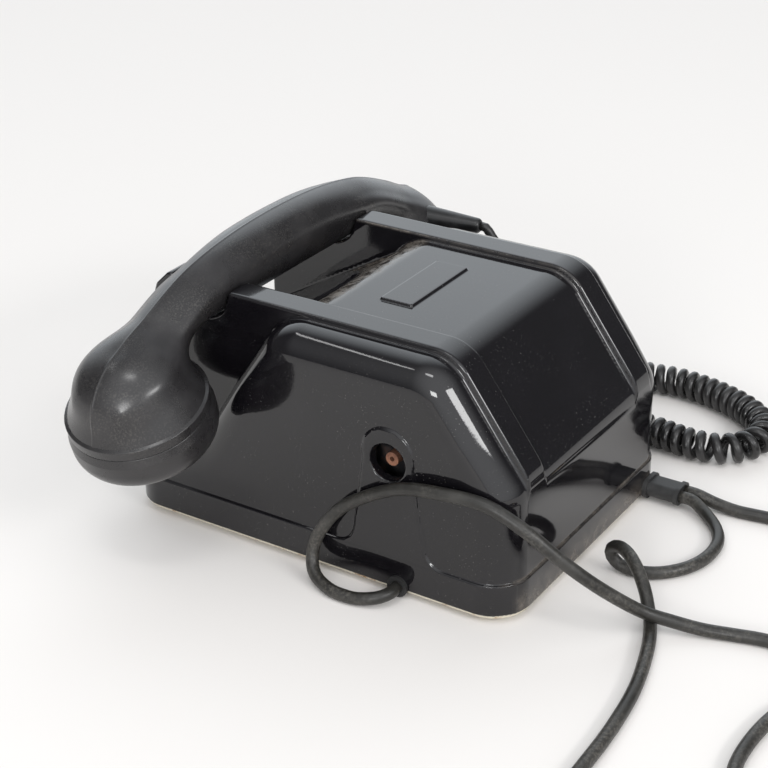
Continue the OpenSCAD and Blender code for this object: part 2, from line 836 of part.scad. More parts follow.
// Routes of the straight cords over the table, chosen by eye
line_route = [[sleeve_x - cr - 0.1, hd + sleeve_len, sleeve_z],
    [sleeve_x - cr - 0.1, hd + sleeve_len + 6, sleeve_z], [-60, 131, 4], [-60.5, 142, floor_z],
    [-62.5, 156, floor_z], [-64.5, 172, floor_z], [-66, 189, floor_z], [-66, 195, floor_z]];
battery_route = [[sleeve_x + cr + 0.1, hd + sleeve_len, sleeve_z],
    [sleeve_x + cr + 0.1, hd + sleeve_len + 6, sleeve_z], [-50, 130, 4], [-42, 139, floor_z],
    [-31, 144.5, floor_z], [-18, 145, floor_z], [-7, 141.5, floor_z], [1.5, 135, floor_z], [6, 128, floor_z],
    [7.2, 121.5, 3], [7.8, 116.2, 4.2], [8.2, 112.8, 8], [9.2, 113.8, 12.5], [11.5, 118.5, 15.3],
    [15.5, 124.5, 15.6], [21.5, 131.5, 13.6], [28, 138, 9.6], [33.5, 142.5, 5.4], [40, 146.5, floor_z],
    [56, 153, floor_z], [82, 160, floor_z], [110, 163.5, floor_z], [136, 164.5, floor_z], [158, 165, floor_z],
    [172, 165, floor_z], [178, 165, floor_z]];
bell_route = [[hw + 1.5, bell_y, bush_z], [hw + 7.5, bell_y, bush_z], [84.5, 42, 4.5], [87, 33, floor_z],
    [87, 22.5, floor_z], [83, 11.5, 4.6], [78.6, 7, 10.5], [76, 9, 21], [75.6, 19.4, 35.6], [75.6, 34.1, 46.7],
    [75.6, 51.1, 55.2], [75, 70, 58.2], [73.5, 88.7, 57.9], [71, 104.4, 50.5], [66.5, 116.4, 39.9],
    [60, 126.3, 29.4], [52, 135, 19.5], [43.5, 144.5, 10.5], [38, 154.5, 6.5], [33, 166, 3.6],
    [28.5, 179, floor_z], [25.5, 192, floor_z], [26.5, 206, floor_z], [36, 217, floor_z], [52, 218, floor_z],
    [69, 212, floor_z], [88, 210, floor_z], [106, 211.5, floor_z], [121, 218, floor_z], [129, 232, floor_z],
    [130, 250, floor_z], [130, 269, floor_z], [130, 275, floor_z]];

module line_cord() {
    color([0.06, 0.06, 0.06])
        tube(line_route, cr, 8, [0, 1, 0], [0, 1, 0]);
}

module battery_cord() {
    color([0.06, 0.06, 0.06])
        tube(battery_route, cr, 8, [0, 1, 0], [1, 0, 0]);
}

module bell_cord() {
    color([0.06, 0.06, 0.06])
        tube(bell_route, cr, 8, [1, 0, 0], [0, 1, 0]);
}

// Flat coil around o, first met at angle a, running inwards and tucked in to its middle
function coil_path(o, a) = concat(
    [for (i = [0 : 24 * coil_turns]) let (r = coil_out - coil_pitch * i / 24, w = a + 15 * i)
        o + [r * cos(w), r * sin(w), floor_z]],
    [for (i = [1 : 6]) let (w = a + 15 * i)
        o + [(coil_in - 11) * cos(a) + 11 * cos(w), (coil_in - 11) * sin(a) + 11 * sin(w), floor_z]],
    [o + [(coil_in - 11 - cord_d) * cos(a) + 11 * cos(a + 90),
        (coil_in - 11 - cord_d) * sin(a) + 11 * sin(a + 90), floor_z]]);
coil_line = [-66 - coil_out, 195, 0];
coil_battery = [178, 165 + coil_out, 0];
coil_bell = [130 - coil_out, 275, 0];

// Coil of one cord, met at angle a
module coil(o, a) {
    p = coil_path(o, a);
    color([0.06, 0.06, 0.06])
        tube(p, cr, 6, [-sin(a), cos(a), 0], [-cos(a), -sin(a), 0]);
}

module line_coil() {
    coil(coil_line, 0);
}

module battery_coil() {
    coil(coil_battery, -90);
}

module bell_coil() {
    coil(coil_bell, 0);
}

// Sleeve with two spade lugs on the end of a coil
module lugs(o, a) {
    p = coil_path(o, a);
    translate(p[len(p) - 1])
        rotate([0, 0, a]) {
            color([0.3, 0.05, 0.04])
                rotate([0, -90, 0])
                    cylinder(h = 7, d = cord_d);
            for (sy = [-1, 1])
                color([0.75, 0.6, 0.3])
                    difference() {
                        translate([-16, sy * 1.6 - 1.3 + sy * 1.1, -0.5])
                            cube([9 + e, 2.6, 1]);
                        translate([-14, sy * 2.7, -1])
                            cylinder(h = 2, r = 0.7);
                    }
        }
}

module line_lugs() {
    lugs(coil_line, 0);
}

module battery_lugs() {
    lugs(coil_battery, -90);
}

module bell_lugs() {
    lugs(coil_bell, 0);
}

// Middle line of the curly cord, chosen by eye, from the handset to the bush
curl_z = curl_across / 2 + 0.3;
hang_dir = unit(out_tip - out_root);
hand_route = [out_tip, out_tip + 3 * hang_dir - [0, 0, 0.6], [-110.6, -11, 85], [-114, -4.5, 76],
    [-121, 5, 58], [-130, 16, 39], [-139, 28, 21], [-146.5, 41, curl_z + 2], [-151.5, 55, curl_z],
    [-153.5, 70, curl_z], [-151.5, 87, curl_z], [-146.5, 103, curl_z], [-139, 116, curl_z],
    [-129.5, 124.5, curl_z], [-118, 126.5, curl_z], [-107, 122, curl_z], [-100, 112.5, curl_z],
    [-98.5, 100, curl_z], [-100, 87, curl_z], [-101, 74, curl_z], [-97, 62, curl_z], [-88, 55.5, bush_z + 1],
    [-hw - 1.5 - 5, hand_y, bush_z], [-hw - 1.5, hand_y, bush_z]];
fine = curve(hand_route, 12);
run = [for (i = 0, s = 0; i < len(fine); i = i + 1,
    s = s + (i < len(fine) ? norm(fine[i] - fine[i - 1]) : 0)) s];
reach = run[len(run) - 1];
fine_t = heading(fine);
fine_s = carried(fine_t, [0, 0, 1]);
curl_a = 40;
curl_b = reach - 26;
// Share of the curls wound up to each point: fewer where the middle line bends, so that they don't crowd
bend = [for (i = [0 : len(fine) - 1]) let (a = max(0, i - 6), b = min(len(fine) - 1, i + 6))
    norm(fine_t[b] - fine_t[a]) / (run[b] - run[a])];
dense = [for (i = 0, s = 0; i < len(fine); i = i + 1,
    s = s + (i < len(fine) ? (max(curl_a, min(curl_b, run[i])) - max(curl_a, min(curl_b, run[i - 1])))
        * max(0.4, 1 - 0.45 * curl_across * bend[i]) : 0)) s];
wound = dense / dense[len(dense) - 1];
// Point of the curly wire at distance s along its middle line
function curl_at(s) = let (i = min(len(fine) - 2, max(0, len([for (q = run) if (q <= s) 1]) - 1)),
    f = (s - run[i]) / (run[i + 1] - run[i]), m = fine[i] + f * (fine[i + 1] - fine[i]),
    t = unit(fine_t[i] + f * (fine_t[i + 1] - fine_t[i])),
    n0 = fine_s[i] + f * (fine_s[i + 1] - fine_s[i]), n = unit(n0 - (n0 * t) * t), b = cross(t, n),
    g = wound[i] + f * (wound[i + 1] - wound[i]), w = 360 * curls * g + 90,
    amp = (curl_across - curl_d) / 2 * ease(s, curl_a - 9, curl_a + 5)
        * (1 - ease(s, curl_b - 5, curl_b + 9)))
    m + amp * (cos(w) * n + sin(w) * b);
curl_step = (curl_b - curl_a) / (curls * 8);
curl_path = concat([for (s = [0, 6]) curl_at(s)], [for (i = [1 : 4]) curl_at(6 + (curl_a - 16) * i / 4)],
    [curl_at(curl_a - 5)],
    [for (i = [0 : curls * 8]) curl_at(curl_a + i * curl_step)], [curl_at(curl_b + 5), curl_at(curl_b + 10)],
    [curl_at(reach - 5), curl_at(reach)]);

module handset_cord() {
    color([0.06, 0.06, 0.06])
        tube(curl_path, curl_d / 2, 6, hang_dir, [1, 0, 0]);
}

echo(line_gap = self_gap(line_route, 3) - cord_d);
echo(battery_gap = self_gap(curve(battery_route, 4), 12) - cord_d);
echo(bell_gap = self_gap(curve(bell_route, 3), 10) - cord_d);
echo(coil_gap = self_gap(coil_path(coil_line, 0), 10) - cord_d);
echo(curl_gap = self_gap(curl_path, 5) - curl_d);
echo(curl_low = min([for (p = curl_path) p[2]]) - curl_d / 2, curl_pitch = (curl_b - curl_a) / curls);

housing();
base_plate();
base_screws();
feet();
dial_blank();
blank_ring();
magneto_frame();
magnets();
drive_shaft();
drive_gear();
armature();
pinion();
ringer_base();
gongs();
gong_screws();
ringer_coils();
clapper();
induction_core();
induction_coil();
capacitor();
terminal_block();
terminal_screws();
hook_bracket();
hook_lever();
contact_springs();
plungers();
handset_body();
receiver_cap();
transmitter_cap();
receiver_capsule();
transmitter_capsule();
strain_relief();
cord_sleeve();
bell_bush();
hand_bush();
line_cord();
battery_cord();
bell_cord();
line_coil();
battery_coil();
bell_coil();
line_lugs();
battery_lugs();
bell_lugs();
handset_cord();
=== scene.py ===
"""Looks of a black bakelite magneto telephone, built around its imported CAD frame."""

import json
import math

import bpy
import numpy as np
from mathutils import Matrix, Vector


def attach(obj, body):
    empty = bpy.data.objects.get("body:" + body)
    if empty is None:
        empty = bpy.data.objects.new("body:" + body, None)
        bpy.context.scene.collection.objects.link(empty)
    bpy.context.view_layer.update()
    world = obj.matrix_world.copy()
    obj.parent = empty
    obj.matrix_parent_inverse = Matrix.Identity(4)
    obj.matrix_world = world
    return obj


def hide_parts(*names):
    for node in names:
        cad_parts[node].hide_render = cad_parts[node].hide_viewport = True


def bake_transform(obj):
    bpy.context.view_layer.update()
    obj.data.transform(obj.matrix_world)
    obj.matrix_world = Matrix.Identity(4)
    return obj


bl_info = {
    "name": "Bakelite telephone",
    "version": (1, 0, 0),
    "blender": (4, 5, 0),
    "location": "View3D > Sidebar > Telephone",
    "description": "Builds the looks of a bakelite magneto telephone around its CAD frame",
    "category": "Object",
}

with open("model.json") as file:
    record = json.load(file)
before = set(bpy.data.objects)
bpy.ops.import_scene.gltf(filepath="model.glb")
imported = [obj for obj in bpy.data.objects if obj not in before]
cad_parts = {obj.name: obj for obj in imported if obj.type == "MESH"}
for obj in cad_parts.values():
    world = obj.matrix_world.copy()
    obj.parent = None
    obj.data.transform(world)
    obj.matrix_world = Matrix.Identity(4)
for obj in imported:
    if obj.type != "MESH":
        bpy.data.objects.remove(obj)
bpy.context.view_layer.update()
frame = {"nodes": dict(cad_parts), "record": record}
MM = 0.001

# Main sizes of the CAD part, in millimetres
HALF_W, HALF_D = 72.0, 99.0
BODY_W, BODY_D = 71.0, 98.0
Z_PLATE, Z_SKIRT = 4.0, 18.3
TOP_Z, RAIL_TOP = 108.0, 110.7
RAIL_IN, RAIL_OUT = 41.5, 55.3
SADDLE_Y, SADDLE_Z = -64.0, 97.0
KNEE_Y = 63.5
SLOPE = math.radians(54.4)
SLOPE_COS, SLOPE_SIN = math.cos(SLOPE), math.sin(SLOPE)
WALL = 4.0
REACH = 101.5
CAP_Z, CAP_R, CAP_H, COLLAR = 75.2, 30.4, 19.8, 4.3
CAP_TILT = math.radians(17.0)
SHAFT_Y, SHAFT_Z = 41.3, 62.5
FLOOR_Z = 2.85
CORD_R = 2.8
COIL_OUT, COIL_IN, COIL_PITCH, COIL_TURNS = 46.6, 22.0, 6.15, 4

# Details of the housing: edge radii, joins, plaque, crank boss and its hole
BODY_EDGE, BODY_EDGE_LESS = 16.0, 3.0
RAIL_EDGE, RAIL_JOIN, MIDDLE_EDGE = 1.3, 1.6, 1.0
CORNER_R, ROOM_R = 17.0, 12.0
SKIRT_HALF, SKIRT_EDGE, SKIRT_JOIN = 15.0, 0.9, 0.5
BOSS_R, BOSS_RISE, BOSS_FOOT, BOSS_HALF, BOSS_FLARE = 12.5, 3.0, 19.0, 4.5, 9.0
PLAQUE_W, PLAQUE_D, PLAQUE_FROM_SADDLE, PLAQUE_RISE = 23.0, 8.0, 79.0, 1.2
DETAIL_JOIN = 0.8
HOLE_R, HOLE_FROM, HOLE_EDGE = 8.25, 40.0, 1.4
ROOM_STEP = 4.0

# Details of the handset: handle, domes, mould seam and sound holes
HANDLE_H, HANDLE_W, HANDLE_FLARE, HANDLE_DROP = 30.4, 14.0, 1.5, 18.0
BOW_SQUARE, BOW_FOURTH = 0.0013, 7.5e-8
NARROW_BACK, NARROW_FRONT = 0.10, 0.19
DOME_EDGE, DOME_JOIN, DOME_FLOOR = 11.0, 10.0, 2.0
RECEIVER_LEAN, TRANSMITTER_LEAN = 0.5, 0.75
SEAM_H, SEAM_W = 0.28, 0.45
GRILLE_R, GRILLE_HALF, SOUND_RING, SOUND_R, SOUND_EDGE = 16.0, 1.95, 9.0, 1.5, 0.5

# Grid rungs (start, step) of the moulded pieces, closer where their edges are
HOUSING_X = (
    (0, 7), (21.6, 0.45), (24.2, 5), (39.5, 0.5), (43.5, 2), (53.3, 0.5), (57.3, 1.2), (66, 1.0),
    (70.6, 0.4), (73.4, 1))
HOUSING_Y = (
    (-100.4, 0.5), (-97, 1.0), (-85, 0.7), (-44, 1.6), (4, 0.5), (9, 2.5), (20, 0.6), (25, 1.1),
    (58, 1.3), (80, 1.1), (97, 0.5), (100.4, 1))
HOUSING_Z = (
    (2.9, 0.5), (5, 2.2), (16.5, 0.4), (20, 1.2), (80, 1.2), (95, 0.7), (118, 1))
HANDSET_X = ((0, 3), (60, 1.6), (136, 1))
HANDSET_Y = ((0, 0.3), (1.2, 1.3), (33.6, 1))
HANDSET_Z = ((62, 1.3), (129.5, 1))
GRILLE_XY = ((-16.6, 0.8), (16.6, 1))
GRILLE_Z = ((-0.4, 0.7), (4.4, 1))
TURN_SIDES, CORD_SIDES, CURL_SIDES, RELIEF_SIDES = 128, 14, 10, 24

# How skin() moves its points: passes, probe, least squared slope and longest move
PASSES, PROBE, LEAST_SLOPE, LONGEST_MOVE = 3, 0.05, 0.05, 0.8

# The photograph's camera: degrees, metres and pixels
CAMERA_AZ, CAMERA_EL, CAMERA_ROLL = 123.46, 27.21, -1.06
CAMERA_AT = (0.6092, 0.3957, 0.4295)
FOCAL_PX, PHOTO_PX, SENSOR_MM = 1827.5, 768, 36.0

# Area lights: name, place, width and height in metres, and the place that they look at
LIGHTS = (
    ("key", (0.57, 0.13, 1.4), 0.42, 0.16),
    ("side", (0.3, 1.35, 0.85), 0.7, 0.22),
    ("front", (1.4, 0.52, 0.58), 0.4, 0.26),
    ("strip", (0.31, -0.77, 1.36), 0.5, 0.05),
)
LOOKED_AT = (0, 0, 0.1)

# Brighter parts of the room: way, cosines where each starts and is full, least light, setting, tint
LOBES = (
    ((0.60, 0.55, 0.58), 0.1, 1.0, 0.14, "room_light", (0.985, 1.0, 1.02)),
    ((-0.70, -0.54, 0.47), 0.6, 0.98, 0.0, "back_light", (0.94, 1.0, 1.05)),
)

# The floor's half size in millimetres, colours and polish
FLOOR_HALF = 4e3
FLOOR_COLOUR, FLOOR_ROUGH, FLOOR_SHINE = (0.845, 0.815, 0.788, 1), 0.85, 0.1
HOUSING_BLACK, HOUSING_ROUGH, HOUSING_HAZE = (0.0055, 0.005, 0.0062), (0.03, 0.08), 1.4
HANDSET_BLACK, HANDSET_ROUGH, HANDSET_HAZE = (0.017, 0.016, 0.0168), (0.22, 0.37), 1.7
HANDSET_SPECKLE = 0.05
DUST_COLOUR, DUST_ROUGH = (0.24, 0.205, 0.17, 1), 0.85
LINT_COLOUR, LINT_ROUGH, LINT_SHARE = (0.3, 0.29, 0.27, 1), 0.7, 0.35
LEDGE_DUST, GROOVE_DUST, BACK_DUST, CORNER_DUST = 0.55, 0.35, 0.4, 0.12
BAKELITE_IOR = 1.55
GRAIN_STRENGTH, GRAIN_DEPTH = 0.1, 0.00008

# Sockets of the mix node's colour form
MIX_FACTOR, MIX_A, MIX_B, MIX_OUT = 0, 6, 7, 2


# Numbers, paths and level surfaces


def unit(v):
    """v / |v| along the last axis."""
    return v / np.maximum(np.linalg.norm(v, axis=-1, keepdims=True), 1e-12)


def ease(x, a, b):
    """Smooth step 3t^2 - 2t^3 with t from 0 at a to 1 at b."""
    t = np.clip((x - a) / (b - a), 0.0, 1.0)
    return t * t * (3.0 - 2.0 * t)


def ladder(rungs, g):
    """Grid values from (start, step) pairs, the steps times g, the last start being the end."""
    out = []
    for (a, step), (b, _) in zip(rungs[:-1], rungs[1:]):
        n = max(1, int(round((b - a) / (step * g))))
        out.append(a + (b - a) * np.arange(n) / n)
    return np.concatenate(out + [[rungs[-1][0]]])


def mirrored(half):
    """Grid values of a half axis, from 0 up, and their negatives."""
    return np.concatenate([-half[:0:-1], half])


def rounded(corners, chord=0.7):
    """Closed path of (y, z, radius) corners: each corner b becomes the arc o + r (cos t, sin t)."""
    c = np.array(corners, float)
    out = []
    for i in range(len(c)):
        a, b, d, r = c[i - 1, :2], c[i, :2], c[(i + 1) % len(c), :2], c[i, 2]
        if r <= 0:
            out.append(b[None])
            continue
        u, v = unit(a - b), unit(d - b)
        half = math.acos(max(-1.0, min(1.0, float(u @ v)))) / 2
        o = b + unit(u + v) * r / math.sin(half)
        p, q = b + u * r / math.tan(half) - o, b + v * r / math.tan(half) - o
        t0 = math.atan2(p[1], p[0])
        w = (math.atan2(q[1], q[0]) - t0 + math.pi) % (2 * math.pi) - math.pi
        t = t0 + w * np.linspace(0, 1, max(6, int(abs(w) * r / chord)) + 1)
        out.append(o + r * np.stack([np.cos(t), np.sin(t)], 1))
    return np.concatenate(out)


def path_distance(points, y, z):
    """Flat distance to a closed path: the least |w - e t| over its edges, below 0 inside."""
    y, z = np.broadcast_arrays(y, z)
    best = np.full(y.shape, 1e9)
    inside = np.zeros(y.shape, bool)
    for (ay, az), (by, bz) in zip(points, np.roll(points, -1, 0)):
        ey, ez, wy, wz = by - ay, bz - az, y - ay, z - az
        t = np.clip((wy * ey + wz * ez) / (ey * ey + ez * ez + 1e-12), 0, 1)
        best = np.minimum(best, (wy - ey * t) ** 2 + (wz - ez * t) ** 2)
        side = ey * wz - ez * wy
        inside ^= ((az <= z) & (bz > z) & (side > 0)) | ((bz <= z) & (az > z) & (side < 0))
    return np.where(inside, -1.0, 1.0) * np.sqrt(best)


def drawn(flat, across, r):
    """A flat distance carried across, its edges rounded by r:
    min(max(p, q), 0) + |max((p, q), 0)| - r."""
    p, q = flat + r, across + r
    return np.minimum(np.maximum(p, q), 0) + np.hypot(np.maximum(p, 0), np.maximum(q, 0)) - r


def join(a, b, k):
    """Smooth union: min(a, b) - h^2 k / 4 with h = max(1 - |a - b| / k, 0)."""
    h = np.maximum(1.0 - np.abs(a - b) / k, 0.0)
    return np.minimum(a, b) - h * h * k / 4


def cut(a, b, k):
    """Smooth difference of a less b."""
    return -join(-a, b, k)


def gradient(field, p, h):
    """Slope of a field at points by central differences over 2 h."""
    out = np.empty_like(p)
    for i in range(3):
        d = np.zeros(3)
        d[i] = h
        a, b = p + d, p - d
        out[:, i] = (field(a[:, 0], a[:, 1], a[:, 2]) - field(b[:, 0], b[:, 1], b[:, 2])) / (2 * h)
    return out


def skin(field, xs, ys, zs, smooth=0.3):
    """Level surface field(x, y, z) = 0 on a grid: one point per cell that it cuts, the mean of the
    crossings on the cell's edges, moved onto the surface by p - f g / |g|^2, and one face per cut
    edge. Returns points, faces and the normals g / |g|."""
    v = field(xs[:, None, None], ys[None, :, None], zs[None, None, :])
    v = np.ascontiguousarray(np.broadcast_to(v, (len(xs), len(ys), len(zs))))
    s = v < 0
    n = [len(xs) - 1, len(ys) - 1, len(zs) - 1]
    axes = [xs, ys, zs]
    total = np.zeros(n + [3])
    count = np.zeros(n)
    for ax in range(3):
        o1, o2 = [i for i in range(3) if i != ax]
        for j in (0, 1):
            for k in (0, 1):
                lo, hi = [None] * 3, [None] * 3
                lo[ax], hi[ax] = slice(0, -1), slice(1, None)
                for o, w in ((o1, j), (o2, k)):
                    lo[o] = hi[o] = slice(w, w + n[o])
                a, b = v[tuple(lo)], v[tuple(hi)]
                crossed = (a < 0) != (b < 0)
                idx = np.nonzero(crossed)
                t = a[idx] / (a[idx] - b[idx])
                pos = np.empty((len(t), 3))
                pos[:, ax] = axes[ax][idx[ax]] + t * np.diff(axes[ax])[idx[ax]]
                pos[:, o1] = axes[o1][idx[o1] + j]
                pos[:, o2] = axes[o2][idx[o2] + k]
                total[idx] += pos
                count[idx] += 1
    cells = count > 0
    number = np.full(n, -1)
    number[cells] = np.arange(cells.sum())
    p = total[cells] / count[cells][:, None]
    faces = []
    for ax in range(3):
        o1, o2 = (ax + 1) % 3, (ax + 2) % 3
        lo, hi = [slice(None)] * 3, [slice(None)] * 3
        lo[ax], hi[ax] = slice(0, -1), slice(1, None)
        for o in (o1, o2):
            lo[o] = hi[o] = slice(1, -1)
        a = s[tuple(lo)]
        idx = np.array(np.nonzero(a != s[tuple(hi)]))
        quad = []
        for j, k in ((0, 0), (1, 0), (1, 1), (0, 1)):
            c = idx.copy()
            c[o1] += j
            c[o2] += k
            quad.append(number[tuple(c)])
        quad = np.stack(quad, 1)
        flip = ~a[tuple(idx)]
        quad[flip] = quad[flip][:, ::-1]
        faces.append(quad)
    for _ in range(PASSES):
        f = field(p[:, 0], p[:, 1], p[:, 2])
        g = gradient(field, p, PROBE)
        step = (f / np.maximum((g * g).sum(1), LEAST_SLOPE))[:, None] * g
        size = np.linalg.norm(step, axis=1, keepdims=True)
        p = p - step * np.minimum(1, LONGEST_MOVE / np.maximum(size, 1e-9))
    return p, np.concatenate(faces), unit(gradient(field, p, smooth))


def curve(points, n):
    """Catmull-Rom curve through points with n steps between neighbours."""
    p = np.array(points, float)
    i = np.arange(len(p) - 1)
    a, b, c, d = p[np.maximum(i - 1, 0)], p[i], p[i + 1], p[np.minimum(i + 2, len(p) - 1)]
    t = (np.arange(n) / n)[None, :, None]
    a, b, c, d = (q[:, None] for q in (a, b, c, d))
    out = 0.5 * (2 * b + (c - a) * t + (2 * a - 5 * b + 4 * c - d) * t ** 2
                 + (3 * b - a - 3 * c + d) * t ** 3)
    return np.concatenate([out.reshape(-1, 3), p[-1:]])


def length_along(path):
    """Distance along a path at each of its points."""
    return np.concatenate([[0], np.cumsum(np.linalg.norm(np.diff(path, axis=0), axis=1))])


def evened(path, step):
    """The path at even steps along its length."""
    s = length_along(path)
    q = np.linspace(0, s[-1], max(2, int(round(s[-1] / step))) + 1)
    return np.stack([np.interp(q, s, path[:, i]) for i in range(3)], 1)


def carried(path, first=(0, 0, 1)):
    """Direction t of a path and a side n carried along it without twist: n - (n.t) t."""
    t = unit(np.gradient(path, axis=0))
    n = np.empty_like(t)
    v = np.array(first, float)
    for i in range(len(t)):
        v = unit(v - (v @ t[i]) * t[i])
        n[i] = v
    return t, n


# Meshes


def mesh_object(name, points, faces, normals=None):
    """Smooth mesh object from points in millimetres."""
    mesh = bpy.data.meshes.new(name)
    mesh.from_pydata((np.asarray(points) * MM).tolist(), [], [list(map(int, f)) for f in faces])
    mesh.polygons.foreach_set("use_smooth", np.ones(len(mesh.polygons), bool))
    mesh.update()
    if normals is not None:
        mesh.normals_split_custom_set_from_vertices(normals.tolist())
    obj = bpy.data.objects.new(name, mesh)
    bpy.context.scene.collection.objects.link(obj)
    return obj


def give(obj, name, values):
    """Stores one number per vertex on a mesh."""
    a = obj.data.attributes.new(name, "FLOAT", "POINT")
    a.data.foreach_set("value", np.asarray(values, np.float32))


def grid_faces(n, k):
    """Faces of n rings of k points, closed around each ring."""
    i, j = np.meshgrid(np.arange(n - 1), np.arange(k), indexing="ij")
    a, b = i * k + j, i * k + (j + 1) % k
    return np.stack([a, b, b + k, a + k], -1).reshape(-1, 4)


def tube(name, path, radius, sides, first=(0, 0, 1)):
    """Round tube p(s) + r (cos a n + sin a b), a from 0 to 2 pi, along a path, both ends closed."""
    t, n = carried(path, first)
    b = np.cross(t, n)
    a = 2 * np.pi * np.arange(sides) / sides
    r = np.broadcast_to(np.asarray(radius, float), (len(path),))[:, None, None]
    cos, sin = np.cos(a)[None, :, None], np.sin(a)[None, :, None]
    ring = path[:, None] + r * (cos * n[:, None] + sin * b[:, None])
    faces = grid_faces(len(path), sides).tolist()
    faces += [list(range(sides))[::-1], list(range((len(path) - 1) * sides, len(path) * sides))]
    return mesh_object(name, ring.reshape(-1, 3), faces)


def turned(profile, sides):
    """Surface of revolution (r cos a, r sin a, h) of a closed profile (r, h), with its normals."""
    p = np.array(profile, float)
    r, h = p.T
    if (r * np.roll(h, -1) - h * np.roll(r, -1)).sum() < 0:
        p = p[::-1]
        r, h = p.T
    t = unit(np.roll(p, -1, 0) - np.roll(p, 1, 0))
    a = 2 * np.pi * np.arange(sides) / sides
    c, s, one = np.cos(a), np.sin(a), np.ones(sides)
    points = np.stack([np.outer(r, c), np.outer(r, s), np.outer(h, one)], -1).reshape(-1, 3)
    normals = np.stack([np.outer(t[:, 1], c), np.outer(t[:, 1], s), np.outer(-t[:, 0], one)], -1)
    i, j = np.meshgrid(np.arange(len(r)), np.arange(sides), indexing="ij")
    k, m = (i + 1) % len(r), (j + 1) % sides
    quads = np.stack([i * sides + j, i * sides + m, k * sides + m, k * sides + j], -1)
    return points, quads.reshape(-1, 4), normals.reshape(-1, 3)


def placed(shape, place):
    """A shape's points and normals carried by a 4x4 place."""
    m = np.array(place)
    points, faces, normals = shape
    return points @ m[:3, :3].T + m[:3, 3], faces, normals @ m[:3, :3].T


def merged(*shapes):
    """Several shapes as one."""
    start = np.cumsum([0] + [len(p) for p, _, _ in shapes[:-1]])
    return (np.concatenate([p for p, _, _ in shapes]),
            np.concatenate([f + n for (_, f, _), n in zip(shapes, start)]),
            np.concatenate([v for _, _, v in shapes]))


# Shapes of the moulded pieces


def slope_z(y, t):
    """Height of the rear slope at y, moved in by t along its normal."""
    return RAIL_TOP - t * SLOPE_COS - SLOPE_SIN / SLOPE_COS * (y - KNEE_Y + t * SLOPE_SIN)


def slope_y(z, t):
    """Place along y where the rear slope moved in by t meets height z."""
    return KNEE_Y - t * SLOPE_SIN + SLOPE_COS / SLOPE_SIN * (RAIL_TOP - t * SLOPE_COS - z)


# Side outlines of the body, the middle between the rails, the rails and the boss: (y, z, radius)
FOOT = -20.0
PROUD = RAIL_TOP - TOP_Z
BODY_SIDE = rounded([
    (-BODY_D, FOOT, 0), (BODY_D, FOOT, 0), (BODY_D, slope_z(BODY_D, PROUD), 15),
    (slope_y(TOP_Z, PROUD), TOP_Z, 20), (SADDLE_Y + 45.4, TOP_Z, 23),
    (SADDLE_Y + 2, SADDLE_Z - 53, 20), (-BODY_D, Z_SKIRT + 8.7, 0)])
MIDDLE_SIDE = rounded([
    (-BODY_D, FOOT, 0), (BODY_D, FOOT, 0), (BODY_D, slope_z(BODY_D, PROUD), 15),
    (slope_y(TOP_Z, PROUD), TOP_Z, 20), (-8, TOP_Z, 6), (-BODY_D, 56.9, 9)])
RAIL_SIDE = rounded([
    (-BODY_D, Z_SKIRT - 2, 0), (BODY_D, Z_SKIRT - 2, 0), (BODY_D, slope_z(BODY_D, 0), 15),
    (KNEE_Y, RAIL_TOP, 20), (SADDLE_Y + 15.3, RAIL_TOP, 1.0), (SADDLE_Y + 13.9, SADDLE_Z + 9.4, 0),
    (SADDLE_Y + 12.9, SADDLE_Z + 6.6, 0), (SADDLE_Y + 11, SADDLE_Z + 3.7, 0),
    (SADDLE_Y + 8.7, SADDLE_Z + 1.7, 0), (SADDLE_Y + 5.8, SADDLE_Z + 0.3, 0),
    (SADDLE_Y + 4.5, SADDLE_Z, 0), (SADDLE_Y - 9, SADDLE_Z, 2),
    (SADDLE_Y - 15.6, RAIL_TOP + 2.8, 1.5), (SADDLE_Y - 18.2, RAIL_TOP + 1.8, 2),
    (SADDLE_Y - 24.8, RAIL_TOP - 4.6, 4), (SADDLE_Y - 27.5, RAIL_TOP - 12.7, 20),
    (-BODY_D, RAIL_TOP - 40, 20)])
ARCH = np.array([(SHAFT_Y - BOSS_FOOT, Z_SKIRT - 3), (SHAFT_Y + BOSS_FOOT, Z_SKIRT - 3)] + [
    (SHAFT_Y + BOSS_R * math.cos(math.radians(3 * i)),
     SHAFT_Z + BOSS_RISE + BOSS_R * math.sin(math.radians(3 * i))) for i in range(-5, 66)])


def plan(x, y, w, d, r):
    """Flat distance to a rectangle of half sizes w, d with corners of radius r."""
    return drawn(np.abs(x) - w, np.abs(y) - d, r)


